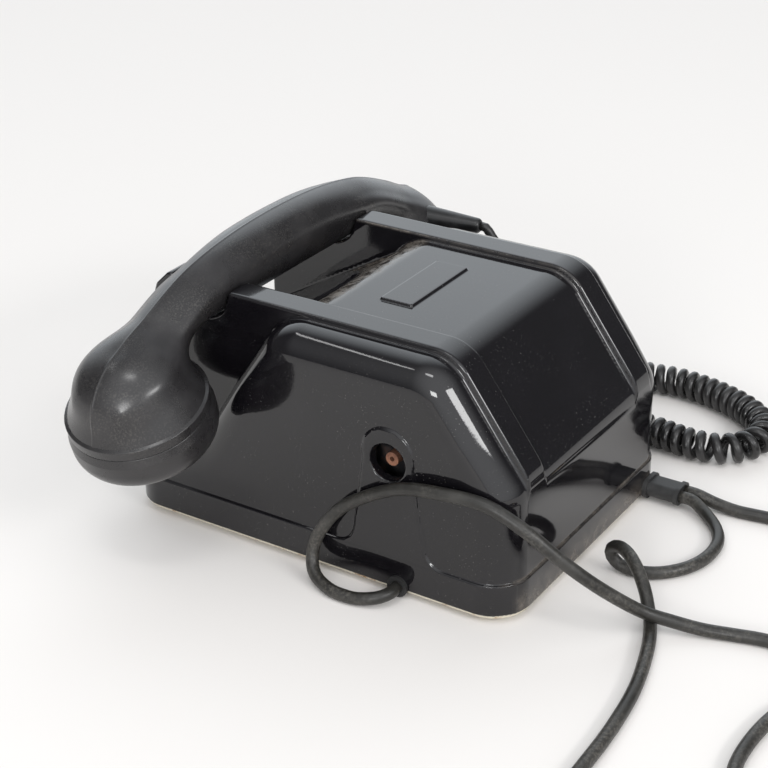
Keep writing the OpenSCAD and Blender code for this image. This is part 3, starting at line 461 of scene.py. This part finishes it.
def housing_field(x, y, z):
    """Distance to the moulded housing: body, middle, rails, skirt, crank boss and plaque, less the
    shaft's hole and the room inside."""
    body_flat = path_distance(BODY_SIDE, y, z)
    middle_flat = path_distance(MIDDLE_SIDE, y, z)
    body = drawn(body_flat, np.abs(x) - BODY_W, BODY_EDGE - BODY_EDGE_LESS * ease(z, 42, 78))
    middle = drawn(middle_flat, np.abs(x) - RAIL_OUT + 1.0, MIDDLE_EDGE)
    across = np.abs(np.abs(x) - (RAIL_IN + RAIL_OUT) / 2) - (RAIL_OUT - RAIL_IN) / 2
    rail = drawn(path_distance(RAIL_SIDE, y, z), across, RAIL_EDGE)
    d = np.minimum(body, middle)
    d = np.maximum(join(d, rail, RAIL_JOIN), np.abs(y) - BODY_D)
    outer = plan(x, y, HALF_W, HALF_D, CORNER_R)
    skirt = drawn(outer, np.abs(z - Z_SKIRT + SKIRT_HALF) - SKIRT_HALF, SKIRT_EDGE)
    d = join(d, skirt, SKIRT_JOIN)
    boss = drawn(join(path_distance(ARCH, y, z), z - Z_SKIRT, BOSS_FLARE),
                 np.abs(x - HALF_W + BOSS_HALF) - BOSS_HALF, SKIRT_EDGE)
    d = join(d, np.maximum(boss, outer), DETAIL_JOIN)
    plaque = drawn(np.abs(x) - PLAQUE_W, np.abs(y - SADDLE_Y - PLAQUE_FROM_SADDLE) - PLAQUE_D, 1.0)
    d = join(d, drawn(plaque, np.abs(z - TOP_Z) - PLAQUE_RISE, 0.5), DETAIL_JOIN)
    hole = np.maximum(np.hypot(y - SHAFT_Y, z - SHAFT_Z) - HOLE_R, HOLE_FROM - x)
    d = cut(d, hole, HOLE_EDGE)
    inner = plan(x, y, BODY_W - WALL, BODY_D - WALL, ROOM_R)
    room = np.minimum(body + WALL, np.maximum(middle_flat + WALL, np.abs(x) - RAIL_OUT + WALL))
    room = np.maximum(room, inner)
    room = np.minimum(room, np.maximum(inner, z - Z_SKIRT - ROOM_STEP))
    d = np.maximum(d, -room)
    return np.maximum(d, Z_PLATE - z)


def housing_dust(points, normals):
    """Dust from 0 to 1: on the ledge under the handset, in the groove over the skirt, low on the
    back and in the rails' inner corners, as smooth steps and bells exp(-(d / w)^2)."""
    x, y, z = points.T
    up = normals[:, 2]
    ledge = ease(y, -70, -50) * (1 - ease(y, -11, -7))
    ledge = np.where((np.abs(x) < 42) & (up > 0.5), ledge, 0) * LEDGE_DUST
    groove = np.exp(-((z - Z_SKIRT - 0.3) / 0.7) ** 2) * GROOVE_DUST * ease(y, 90, 98)
    low_back = ease(y, 96, 98.5) * (1 - ease(z, 6, 17)) * BACK_DUST
    corners = np.exp(-((np.abs(x) - RAIL_IN) / 0.8) ** 2) * (up > 0.3) * (z > 100) * CORNER_DUST
    return np.clip(np.maximum.reduce([ledge, groove, low_back, corners]), 0, 1)


def cap_frame(side):
    """Place of one handset end: its cap's middle, z up along the cap's axis."""
    tilt = Matrix.Rotation(side * CAP_TILT, 4, "Y")
    return Matrix.Translation((side * REACH, SADDLE_Y, CAP_Z)) @ tilt


def handset_field(x, y, z):
    """Distance to the handset: a handle of ridged sections |u|^p + |v|^p = 1 joined smoothly to two
    domes, with a fine mould seam along its middle."""
    ax = np.abs(x)
    top = SADDLE_Z + HANDLE_H - BOW_SQUARE * ax ** 2 - BOW_FOURTH * ax ** 4 - 1.2 * ease(ax, 60, 90)
    low = SADDLE_Z + 0.1 - HANDLE_DROP * ease(ax, 62, REACH + 4)
    half = np.maximum((top - low) / 2, 4)
    v = (z - (top + low) / 2) / half
    narrow = np.where(y > SADDLE_Y, NARROW_BACK, NARROW_FRONT)
    b = (HANDLE_W + HANDLE_FLARE * ease(ax, 70, REACH + 4)) * (1 - narrow * np.clip(-v, 0, 1))
    u = (y - SADDLE_Y) / b
    ridge = 2.1 - 0.7 * ease(ax, 20, 65) * ease(v, -0.1, 0.6)
    p = np.where(v > 0, ridge, 2.1 + 0.3 * ease(-v, 0, 0.5))
    q = (np.abs(u) ** p + np.abs(v) ** p + 1e-9) ** (1 / p)
    q = np.hypot(q, np.maximum(ax - REACH + 5, 0) / 16)
    handle = (q - 1) * np.minimum(half, b) * 0.95
    c, n = math.cos(CAP_TILT), math.sin(CAP_TILT)
    r = np.hypot(c * (ax - REACH) - n * (z - CAP_Z), y - SADDLE_Y)
    h = n * (ax - REACH) + c * (z - CAP_Z)
    lean = np.where(x > 0, RECEIVER_LEAN, TRANSMITTER_LEAN)
    flank = (r - CAP_R + 0.2 + lean * np.maximum(h, 0)) / np.hypot(1, lean)
    dome = np.maximum(drawn(flank, h - CAP_R + 2.9, DOME_EDGE), -DOME_FLOOR - h)
    d = join(handle, dome, DOME_JOIN)
    above = np.maximum(ease(z - low, 0.5, 4), ease(ax, 80, 95))
    return d - SEAM_H * np.exp(-((y - SADDLE_Y) / SEAM_W) ** 2) * above


# Half sections (radius, height, corner radius) of the collar ring and the screwed cap
COLLAR_SIDE = rounded([
    (CAP_R - 5, -COLLAR, 0), (CAP_R + 0.8, -COLLAR, 0.5), (CAP_R + 0.8, 0.1, 0.5),
    (CAP_R - 0.6, 0.8, 0.4), (CAP_R - 5, 0.8, 0)], 0.15)
CAP_SIDE = rounded([
    (15, 0, 0), (CAP_R + 1.6, 0, 11), (CAP_R + 1.6, CAP_H - 4.2, 2.5),
    (CAP_R + 0.5, CAP_H - 0.2, 0.6), (CAP_R - 3.4, CAP_H - 0.2, 0), (CAP_R - 3.4, 6.5, 0),
    (CAP_R - 6.4, 4, 0), (15, 4, 0)], 0.5)


def grille_field(x, y, z):
    """Distance to the cap's middle: a disc with seven sound holes."""
    d = np.maximum(np.hypot(x, y) - GRILLE_R, np.abs(z - 2) - GRILLE_HALF)
    for i in range(7):
        a, m = math.radians(60 * i), 0 if i == 6 else SOUND_RING
        d = cut(d, np.hypot(x - m * math.cos(a), y - m * math.sin(a)) - SOUND_R, SOUND_EDGE)
    return d


# Cords: middle lines over the table, in millimetres

LINE_ROUTE = [
    (-59.9, 116, 5.8), (-59.9, 122, 5.8), (-60, 131, 4), (-60.5, 142, FLOOR_Z),
    (-62.5, 156, FLOOR_Z), (-64.5, 172, FLOOR_Z), (-66, 189, FLOOR_Z), (-66, 195, FLOOR_Z)]
BATTERY_ROUTE = [
    (-54.1, 116, 5.8), (-54.1, 122, 5.8), (-50, 130, 4), (-42, 139, FLOOR_Z),
    (-31, 144.5, FLOOR_Z), (-18, 145, FLOOR_Z), (-7, 141.5, FLOOR_Z), (1.5, 135, FLOOR_Z),
    (6, 128, FLOOR_Z), (7.2, 121.5, 3), (7.8, 116.2, 4.2), (8.2, 112.8, 8), (9.2, 113.8, 12.5),
    (11.5, 118.5, 15.3), (15.5, 124.5, 15.6), (21.5, 131.5, 13.6), (28, 138, 9.6),
    (33.5, 142.5, 5.4), (40, 146.5, FLOOR_Z), (56, 153, FLOOR_Z), (82, 160, FLOOR_Z),
    (110, 163.5, FLOOR_Z), (136, 164.5, FLOOR_Z), (158, 165, FLOOR_Z), (172, 165, FLOOR_Z),
    (178, 165, FLOOR_Z)]
BELL_ROUTE = [
    (73.5, 46, 5.2), (79.5, 46, 5.2), (84.5, 42, 4.5), (87, 33, FLOOR_Z), (87, 22.5, FLOOR_Z),
    (83, 11.5, 4.6), (78.6, 7, 10.5), (76, 9, 21), (75.6, 19.4, 35.6), (75.6, 34.1, 46.7),
    (75.6, 51.1, 55.2), (75, 70, 58.2), (73.5, 88.7, 57.9), (71, 104.4, 50.5),
    (66.5, 116.4, 39.9), (60, 126.3, 29.4), (52, 135, 19.5), (43.5, 144.5, 10.5),
    (38, 154.5, 6.5), (33, 166, 3.6), (28.5, 179, FLOOR_Z), (25.5, 192, FLOOR_Z),
    (26.5, 206, FLOOR_Z), (36, 217, FLOOR_Z), (52, 218, FLOOR_Z), (69, 212, FLOOR_Z),
    (88, 210, FLOOR_Z), (106, 211.5, FLOOR_Z), (121, 218, FLOOR_Z), (129, 232, FLOOR_Z),
    (130, 250, FLOOR_Z), (130, 269, FLOOR_Z), (130, 275, FLOOR_Z)]
TUCK_R = 11.0
CURL_D, CURL_ACROSS, CURLS = 4.6, 15.0, 41
CURL_Z = CURL_ACROSS / 2 + 0.3
CURL_LEAD_IN, CURL_LEAD_OUT, CURL_STEPS = 40.0, 26.0, 28
BEND_SLOWS, SLOWEST = 0.45, 0.4
OUT_ROOT = np.array([-103.5, -48.0, 89.6])
OUT_TIP = np.array([-108.0, -20.0, 89.6])
RELIEF_R, RELIEF_TAPER, RELIEF_LIP = 6.5, 2.9, 0.9
HAND_ROUTE = [
    tuple(OUT_TIP), tuple(OUT_TIP + 3 * unit(OUT_TIP - OUT_ROOT) - (0, 0, 0.6)),
    (-109.9, -13, 82.6), (-113.2, -6.6, 73.6), (-121, 5, 58), (-130, 16, 39), (-139, 28, 21),
    (-146.5, 41, CURL_Z + 2), (-151.5, 55, CURL_Z), (-153.5, 70, CURL_Z), (-151.5, 87, CURL_Z),
    (-146.5, 103, CURL_Z), (-139, 116, CURL_Z), (-129.5, 124.5, CURL_Z), (-118, 126.5, CURL_Z),
    (-107, 122, CURL_Z), (-100, 112.5, CURL_Z), (-98.5, 100, CURL_Z), (-100, 87, CURL_Z),
    (-101, 74, CURL_Z), (-97, 62, CURL_Z), (-88, 55.5, 6.2), (-78.5, 54, 5.2), (-73.5, 54, 5.2)]


def coil_path(middle, angle):
    """Flat coil r = out - pitch w / (2 pi) in from an angle, then a quarter turn to its end."""
    a = math.radians(angle)
    w = np.radians(5.0 * np.arange(72 * COIL_TURNS + 1))
    r = COIL_OUT - COIL_PITCH * w / (2 * np.pi)
    wind = np.stack([r * np.cos(a + w), r * np.sin(a + w)], 1)
    q = a + np.radians(np.arange(9, 91, 9.0))
    hub = (COIL_IN - TUCK_R) * np.array([math.cos(a), math.sin(a)])
    tuck = hub + TUCK_R * np.stack([np.cos(q), np.sin(q)], 1)
    end = tuck[-1:] - 2 * CORD_R * np.array([[math.cos(a), math.sin(a)]])
    flat = np.concatenate([wind, tuck, end]) + np.array(middle)
    return np.column_stack([flat, np.full(len(flat), FLOOR_Z)])


def coiled_cord(route, middle, angle):
    """A cord's whole middle line: its route over the table and its coil, never below the table."""
    path = np.concatenate([evened(curve(route, 12), 2.5)[:-1], coil_path(middle, angle)])
    path[:, 2] = np.maximum(path[:, 2], FLOOR_Z)
    return path


def curly_path(turns):
    """Wire m(s) + A (cos w n + sin w b) wound around the curly cord's middle line m, with
    w = 2 pi turns g + pi / 2 and g the share wound so far, slower where m bends."""
    m = curve(HAND_ROUTE, 12)
    s = length_along(m)
    t, n = carried(m)
    a, b = CURL_LEAD_IN, s[-1] - CURL_LEAD_OUT
    q = np.concatenate([
        np.linspace(0, a, 16)[:-1], np.linspace(a, b, CURL_STEPS * turns + 1),
        np.linspace(b, s[-1], 12)[1:]])
    mid, side, along = ([np.interp(q, s, v[:, i]) for i in range(3)] for v in (m, n, t))
    mid, side, along = (np.stack(v, 1) for v in (mid, side, along))
    along = unit(along)
    side = unit(side - (side * along).sum(1, keepdims=True) * along)
    up = np.cross(along, side)
    i = np.arange(len(m))
    lo, hi = np.maximum(i - 6, 0), np.minimum(i + 6, len(m) - 1)
    bend = np.linalg.norm(t[hi] - t[lo], axis=1) / (s[hi] - s[lo])
    pace = np.maximum(SLOWEST, 1 - BEND_SLOWS * CURL_ACROSS * bend)
    wound = np.cumsum(np.diff(np.clip(s, a, b), prepend=a) * pace)
    g = np.interp(q, s, wound / wound[-1])
    w = (2 * np.pi * turns * g + np.pi / 2)[:, None]
    amp = (CURL_ACROSS - CURL_D) / 2 * ease(q, a - 9, a + 5) * (1 - ease(q, b - 5, b + 9))
    return mid + amp[:, None] * (np.cos(w) * side + np.sin(w) * up)


# Materials


class Shader:
    """Small helper that adds and links nodes of one material."""

    def __init__(self, name):
        self.material = bpy.data.materials.new(name)
        self.material.use_nodes = True
        self.tree = self.material.node_tree
        self.main = self.tree.nodes["Principled BSDF"]

    def add(self, kind, inputs=None, **settings):
        """A node with its settings, and its inputs set or linked."""
        node = self.tree.nodes.new(kind)
        for k, v in settings.items():
            setattr(node, k, v)
        for k, v in (inputs or {}).items():
            self.put(node, k, v)
        return node

    def put(self, node, key, value):
        """Links a socket to an input, or sets its constant."""
        if isinstance(value, bpy.types.NodeSocket):
            self.tree.links.new(value, node.inputs[key])
        else:
            node.inputs[key].default_value = value

    def noise(self, scale, detail=4.0, rough=0.6, stretch=(1, 1, 1)):
        """Noise on object coordinates, in lengths of 1 / scale metres."""
        place = self.add("ShaderNodeTexCoord")
        mapped = self.add(
            "ShaderNodeMapping", {"Vector": place.outputs["Object"], "Scale": stretch})
        node = self.add("ShaderNodeTexNoise", {
            "Vector": mapped.outputs[0], "Scale": scale, "Detail": detail, "Roughness": rough})
        return node.outputs["Fac"]

    def ramp(self, value, a, b, out_a=0.0, out_b=1.0):
        """Straight ramp from out_a at a to out_b at b, kept between them."""
        node = self.add("ShaderNodeMapRange", {
            "Value": value, "From Min": a, "From Max": b, "To Min": out_a, "To Max": out_b})
        return node.outputs[0]

    def mix(self, factor, a, b):
        """Colour a turning to b."""
        node = self.add("ShaderNodeMix", data_type="RGBA")
        self.put(node, MIX_FACTOR, factor)
        self.put(node, MIX_A, a)
        self.put(node, MIX_B, b)
        return node.outputs[MIX_OUT]

    def combine(self, operation, a, b):
        """Sum, product or other operation on two numbers."""
        return self.add("ShaderNodeMath", {0: a, 1: b}, operation=operation).outputs[0]

    def times(self, a, b):
        """Product of two numbers."""
        return self.combine("MULTIPLY", a, b)

    def most(self, a, b):
        """Greater of two numbers."""
        return self.combine("MAXIMUM", a, b)

    def bump(self, height, strength, distance):
        """Normal bent by a height."""
        return self.add("ShaderNodeBump", {
            "Height": height, "Strength": strength, "Distance": distance}).outputs[0]

    def value(self, name):
        """A number stored on the mesh."""
        return self.add("ShaderNodeAttribute", attribute_name=name).outputs["Fac"]


def bakelite(name, colour, rough, dust, haze, speckle=0.0):
    """Dark moulded bakelite: patchy polish between two roughnesses, paler haze and fine scratches,
    with worn specks on request, and lint and dust where the mesh says."""
    s = Shader(name)
    patch = s.noise(38.0, 5.0, 0.65)
    fine = s.noise(900.0, 3.0, 0.6)
    scratch = s.noise(260.0, 6.0, 0.75, (1.0, 0.08, 1.0))
    polish = s.ramp(patch, 0.35, 0.7, *rough)
    base = s.mix(s.ramp(patch, 0.45, 0.75), (*colour, 1), (*[c * haze for c in colour], 1))
    if speckle:
        specks = s.ramp(s.noise(1300.0, 2.0, 0.5), 0.5, 0.68)
        worn = s.times(specks, s.ramp(s.noise(26.0, 3.0), 0.42, 0.62))
        base = s.mix(worn, base, (speckle, speckle * 0.94, speckle * 0.88, 1))
    if dust:
        lay = s.times(s.value("dust"), s.ramp(s.noise(170.0, 6.0, 0.7), 0.32, 0.62))
        base = s.mix(lay, base, DUST_COLOUR)
        specks = s.ramp(s.noise(1500.0, 1.0, 0.5), 0.72, 0.76)
        lint = s.times(specks, s.ramp(s.noise(45.0, 2.0), 0.42, 0.6))
        base = s.mix(s.times(lint, LINT_SHARE), base, LINT_COLOUR)
        polish = s.most(s.most(polish, s.times(lay, DUST_ROUGH)), s.times(lint, LINT_ROUGH))
    s.put(s.main, "Base Color", base)
    s.put(s.main, "Roughness", polish)
    s.put(s.main, "IOR", BAKELITE_IOR)
    s.put(s.main, "Normal", s.bump(s.combine("ADD", fine, scratch), GRAIN_STRENGTH, GRAIN_DEPTH))
    return s.material


def rubber(name, colour, rough, dust=0.0):
    """Rubber with worn paler patches, a fine grain and, on request, specks of dust."""
    s = Shader(name)
    patch = s.noise(60.0, 5.0, 0.6)
    worn = [min(1.0, 2.2 * c + 0.012) for c in colour]
    base = s.mix(s.ramp(patch, 0.45, 0.75), (*colour, 1), (*worn, 1))
    if dust:
        specks = s.ramp(s.noise(700.0, 4.0, 0.7), 0.45, 0.65)
        lay = s.times(specks, s.ramp(s.noise(34.0, 4.0), 0.4, 0.6))
        base = s.mix(lay, base, (dust, dust * 0.92, dust * 0.8, 1))
    s.put(s.main, "Base Color", base)
    s.put(s.main, "Roughness", s.ramp(patch, 0.3, 0.7, rough - 0.1, rough + 0.12))
    s.put(s.main, "Normal", s.bump(s.noise(1500.0, 2.0), 0.15, 0.0002))
    return s.material


def metal(name, colour, rough, stain, amount):
    """Dull metal with stains of rust or tarnish."""
    s = Shader(name)
    patch = s.ramp(s.noise(120.0, 8.0, 0.7), 0.62 - 0.3 * amount, 0.72 - 0.2 * amount)
    s.put(s.main, "Base Color", s.mix(patch, (*colour, 1), (*stain, 1)))
    s.put(s.main, "Metallic", s.ramp(patch, 0.0, 1.0, 1.0, 0.15))
    s.put(s.main, "Roughness", s.ramp(patch, 0.0, 1.0, rough, 0.8))
    return s.material


def dress(obj, material):
    """Gives an object one material."""
    obj.data.materials.clear()
    obj.data.materials.append(material)


# Settings, operators and panel


class TelephoneSettings(bpy.types.PropertyGroup):
    """Sizes and finishes that can be changed."""

    grid: bpy.props.FloatProperty(
        name="Grid", description="Grid step of the moulded pieces against the usual one",
        default=1.2, min=0.6, max=4.0)
    cord_diameter: bpy.props.FloatProperty(
        name="Cord diameter", description="Diameter of the three straight cords",
        default=0.0056, unit="LENGTH")
    curl_diameter: bpy.props.FloatProperty(
        name="Curly wire diameter", description="Diameter of the curly cord's wire",
        default=0.0046, unit="LENGTH")
    curls: bpy.props.IntProperty(
        name="Curls", description="Turns of the curly cord", default=CURLS)
    key_power: bpy.props.FloatProperty(
        name="Key light", description="Power of the small light overhead",
        default=1.6, unit="POWER")
    side_power: bpy.props.FloatProperty(
        name="Side light", description="Power of the wide light behind the telephone",
        default=5.8, unit="POWER")
    front_power: bpy.props.FloatProperty(
        name="Front light", description="Power of the light beside the camera",
        default=4.5, unit="POWER")
    strip_power: bpy.props.FloatProperty(
        name="Strip light", description="Power of the narrow light over the handset's side",
        default=0.5, unit="POWER")
    room_light: bpy.props.FloatProperty(
        name="Room light", description="Brightness of the room on the camera's side", default=1.5)
    back_light: bpy.props.FloatProperty(
        name="Back light", description="Brightness of the room where the top reflects it",
        default=1.52)


def settings():
    """The scene's telephone settings."""
    return bpy.context.scene.telephone


class TELEPHONE_OT_stage(bpy.types.Operator):
    """Sets the camera at the photograph's place, the pale floor and the soft lights"""

    bl_idname = "telephone.stage"
    bl_label = "Stage"

    def execute(self, context):
        az, el, roll = (math.radians(a) for a in (CAMERA_AZ, CAMERA_EL, CAMERA_ROLL))
        back = Vector((math.sin(az) * math.cos(el), -math.cos(az) * math.cos(el), math.sin(el)))
        right = Vector((0, 0, 1)).cross(back).normalized()
        up = back.cross(right)
        x = math.cos(roll) * right + math.sin(roll) * up
        y = -math.sin(roll) * right + math.cos(roll) * up
        data = bpy.data.cameras.new("camera")
        data.sensor_width = SENSOR_MM
        data.lens = FOCAL_PX / PHOTO_PX * SENSOR_MM
        camera = bpy.data.objects.new("camera", data)
        place = Matrix((x, y, back)).transposed().to_4x4()
        place.translation = CAMERA_AT
        camera.matrix_world = place
        context.scene.collection.objects.link(camera)
        context.scene.camera = camera

        square = np.array([(-1, -1, 0), (1, -1, 0), (1, 1, 0), (-1, 1, 0)], float)
        floor = mesh_object("floor", FLOOR_HALF * square, [(0, 1, 2, 3)])
        s = Shader("floor_paper")
        s.put(s.main, "Base Color", FLOOR_COLOUR)
        s.put(s.main, "Roughness", FLOOR_ROUGH)
        s.put(s.main, "Specular IOR Level", FLOOR_SHINE)
        dress(floor, s.material)

        world = bpy.data.worlds.new("studio")
        world.use_nodes = True
        self.sky(world.node_tree)
        context.scene.world = world
        for name, at, wide, high in LIGHTS:
            power = getattr(settings(), f"{name}_power")
            self.light(context, f"{name}_light", at, wide, high, power)
        context.scene.view_settings.view_transform = "Standard"
        return {"FINISHED"}

    def sky(self, tree):
        """Soft room: dim all round, brighter on the camera's side and where the top reflects it."""
        add, link = tree.nodes.new, tree.links.new
        ray = add("ShaderNodeTexCoord").outputs["Generated"]
        total = None
        for way, start, end, low, bright, tint in LOBES:
            along, lobe = add("ShaderNodeVectorMath"), add("ShaderNodeVectorMath")
            span = add("ShaderNodeMapRange")
            ends = {"From Min": start, "From Max": end, "To Min": low}
            ends["To Max"] = getattr(settings(), bright)
            along.operation = "DOT_PRODUCT"
            along.inputs[1].default_value = Vector(way).normalized()
            link(ray, along.inputs[0])
            link(along.outputs["Value"], span.inputs["Value"])
            span.interpolation_type = "SMOOTHSTEP"
            for name, value in ends.items():
                span.inputs[name].default_value = value
            lobe.operation = "SCALE"
            lobe.inputs[0].default_value = tint
            link(span.outputs[0], lobe.inputs["Scale"])
            if total is None:
                total = lobe.outputs[0]
            else:
                both = add("ShaderNodeVectorMath")
                link(total, both.inputs[0])
                link(lobe.outputs[0], both.inputs[1])
                total = both.outputs[0]
        link(total, tree.nodes["Background"].inputs["Color"])

    def light(self, context, name, place, wide, high, power):
        """One soft area light that looks at the telephone."""
        data = bpy.data.lights.new(name, "AREA")
        data.shape = "RECTANGLE"
        data.size, data.size_y, data.energy = wide, high, power
        obj = bpy.data.objects.new(name, data)
        obj.location = place
        look = Vector(LOOKED_AT) - Vector(place)
        obj.rotation_euler = look.to_track_quat("-Z", "Y").to_euler()
        context.scene.collection.objects.link(obj)


class TELEPHONE_OT_cords(bpy.types.Operator):
    """Lays the three straight cords with their coils, and the curly handset cord"""

    bl_idname = "telephone.cords"
    bl_label = "Cords"

    def execute(self, context):
        finish = rubber("cord_rubber_look", (0.016, 0.015, 0.013), 0.42, 0.09)
        d = settings().cord_diameter
        for name, route, middle, angle in (
                ("line", LINE_ROUTE, (-66 - COIL_OUT, 195), 0),
                ("battery", BATTERY_ROUTE, (178, 165 + COIL_OUT), -90),
                ("bell", BELL_ROUTE, (130 - COIL_OUT, 275), 0)):
            path = coiled_cord(route, middle, angle)
            obj = tube(f"{name}_cord_look", path, d / MM / 2, CORD_SIDES)
            dress(obj, finish)
            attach(obj, "telephone")
            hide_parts(f"{name}_cord", f"{name}_coil")
        path = curly_path(settings().curls)
        d = settings().curl_diameter
        obj = tube("handset_cord_look", path, d / MM / 2, CURL_SIDES)
        dress(obj, rubber("curl_rubber_look", (0.01, 0.0095, 0.0095), 0.26))
        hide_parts("handset_cord")
        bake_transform(obj)
        return {"FINISHED"}


class TELEPHONE_OT_housing(bpy.types.Operator):
    """Moulds the housing with its rails, cradle arms, crank boss and plaque"""

    bl_idname = "telephone.housing"
    bl_label = "Housing"

    def execute(self, context):
        g = settings().grid * 1.0
        xs = mirrored(ladder(HOUSING_X, g))
        points, faces, normals = skin(
            housing_field, xs, ladder(HOUSING_Y, g), ladder(HOUSING_Z, g))
        obj = mesh_object("housing_look", points, faces, normals)
        give(obj, "dust", housing_dust(points, normals))
        dress(obj, bakelite(
            "housing_bakelite_look", HOUSING_BLACK, HOUSING_ROUGH, True, HOUSING_HAZE))
        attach(obj, "telephone")
        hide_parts("housing")
        return {"FINISHED"}


class TELEPHONE_OT_handset(bpy.types.Operator):
    """Moulds the handset with its two screwed caps and its cord outlet"""

    bl_idname = "telephone.handset"
    bl_label = "Handset"

    def execute(self, context):
        g = settings().grid * 1.0
        finish = bakelite(
            "handset_bakelite_look", HANDSET_BLACK, HANDSET_ROUGH, False, HANDSET_HAZE,
            HANDSET_SPECKLE)
        xs = mirrored(ladder(HANDSET_X, g))
        ys = SADDLE_Y + mirrored(ladder(HANDSET_Y, g))
        sides = TURN_SIDES
        ring = turned(COLLAR_SIDE, sides)
        obj = mesh_object("handset_look", *merged(
            skin(handset_field, xs, ys, ladder(HANDSET_Z, g)),
            *[placed(ring, cap_frame(side)) for side in (-1, 1)]))
        dress(obj, finish)
        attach(obj, "handset")
        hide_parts("handset_body")
        grid = ladder(GRILLE_XY, g)
        cap_shape = merged(
            turned(CAP_SIDE, sides), skin(grille_field, grid, grid, ladder(GRILLE_Z, g)))
        for side, name in ((1, "receiver_cap"), (-1, "transmitter_cap")):
            place = cap_frame(side) @ Matrix.Translation((0, 0, -COLLAR - CAP_H))
            cap = mesh_object(f"{name}_look", *placed(cap_shape, place))
            dress(cap, finish)
            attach(cap, "handset")
            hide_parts(name)
        s = np.linspace(0, 1, 40)
        path = OUT_ROOT + s[:, None] * (OUT_TIP - OUT_ROOT)
        r = RELIEF_R - RELIEF_TAPER * s - RELIEF_LIP * np.clip((s - 0.94) / 0.06, 0, 1) ** 2
        relief = tube("strain_relief_look", path, r, RELIEF_SIDES)
        dress(relief, rubber("relief_rubber_look", (0.008, 0.008, 0.0085), 0.32))
        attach(relief, "handset")
        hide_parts("strain_relief")
        return {"FINISHED"}


class TELEPHONE_OT_finishes(bpy.types.Operator):
    """Gives the CAD pieces that are carried over their finishes by material slot, except the brass
    drive gear, which gets the dark iron finish as painted shade inside the crank hole
    """

    bl_idname = "telephone.finishes"
    bl_label = "Finishes"

    def execute(self, context):
        looks = {
            "housing_bakelite": bakelite(
                "blank_bakelite_look", HOUSING_BLACK, HOUSING_ROUGH, False, HOUSING_HAZE),
            "handset_bakelite": bakelite(
                "small_bakelite_look", (0.0145, 0.0145, 0.016), (0.16, 0.34), False, 1.6),
            "block_bakelite": bakelite(
                "block_bakelite_look", (0.02, 0.012, 0.009), (0.2, 0.4), False, 1.5),
            "plate_zinc": metal("plate_zinc_look", (0.8, 0.76, 0.64), 0.5, (0.33, 0.2, 0.1), 0.25),
            "steel": metal("steel_look", (0.55, 0.55, 0.56), 0.35, (0.2, 0.12, 0.08), 0.2),
            "rubber": rubber("foot_rubber_look", (0.014, 0.014, 0.014), 0.55),
            "cord_rubber": rubber("sleeve_rubber_look", (0.009, 0.0088, 0.0088), 0.36),
            "brass": metal("brass_look", (0.72, 0.55, 0.26), 0.3, (0.25, 0.17, 0.08), 0.3),
            "shaft_copper": metal(
                "shaft_copper_look", (0.4, 0.2, 0.13), 0.5, (0.17, 0.075, 0.045), 0.7),
            # This dark iron finish also goes on the brass drive gear, as painted shade inside the
            # crank hole
            "magnet_iron": metal(
                "magnet_iron_look", (0.12, 0.12, 0.13), 0.5, (0.15, 0.08, 0.05), 0.3),
            "winding": rubber("winding_look", (0.1, 0.03, 0.015), 0.45),
            "gong_brass": metal("gong_look", (0.6, 0.5, 0.3), 0.25, (0.25, 0.2, 0.12), 0.2),
            "can": metal("can_look", (0.5, 0.5, 0.5), 0.4, (0.3, 0.28, 0.25), 0.3),
        }
        for part in frame["record"]["subparts"]:
            node, slot = part["node"], part["material_slot"]
            if node in frame["nodes"]:
                # The brass drive gear shows through the crank hole. It gets the dark iron finish
                # instead of brass: painted shade that makes the hole look dark inside
                dress(frame["nodes"][node], looks["magnet_iron" if node == "drive_gear" else slot])
        return {"FINISHED"}


class TELEPHONE_PT_panel(bpy.types.Panel):
    """Settings and steps of the telephone"""

    bl_idname = "TELEPHONE_PT_panel"
    bl_label = "Telephone"
    bl_space_type = "VIEW_3D"
    bl_region_type = "UI"
    bl_category = "Telephone"

    def draw(self, context):
        for name in TelephoneSettings.__annotations__:
            self.layout.prop(settings(), name)
        for step in STEPS:
            self.layout.operator(step.bl_idname)


STEPS = (
    TELEPHONE_OT_stage, TELEPHONE_OT_cords, TELEPHONE_OT_housing, TELEPHONE_OT_handset,
    TELEPHONE_OT_finishes)


def register():
    """Registers the settings, the operators and the panel."""
    for c in (TelephoneSettings, *STEPS, TELEPHONE_PT_panel):
        bpy.utils.register_class(c)
    bpy.types.Scene.telephone = bpy.props.PointerProperty(type=TelephoneSettings)


def unregister():
    """Removes what register() added."""
    del bpy.types.Scene.telephone
    for c in reversed((TelephoneSettings, *STEPS, TELEPHONE_PT_panel)):
        bpy.utils.unregister_class(c)


def main():
    """Builds everything in order."""
    register()
    bpy.ops.telephone.stage()
    bpy.ops.telephone.cords()
    bpy.ops.telephone.housing()
    bpy.ops.telephone.handset()
    bpy.ops.telephone.finishes()


if __name__ == "__main__":
    main()
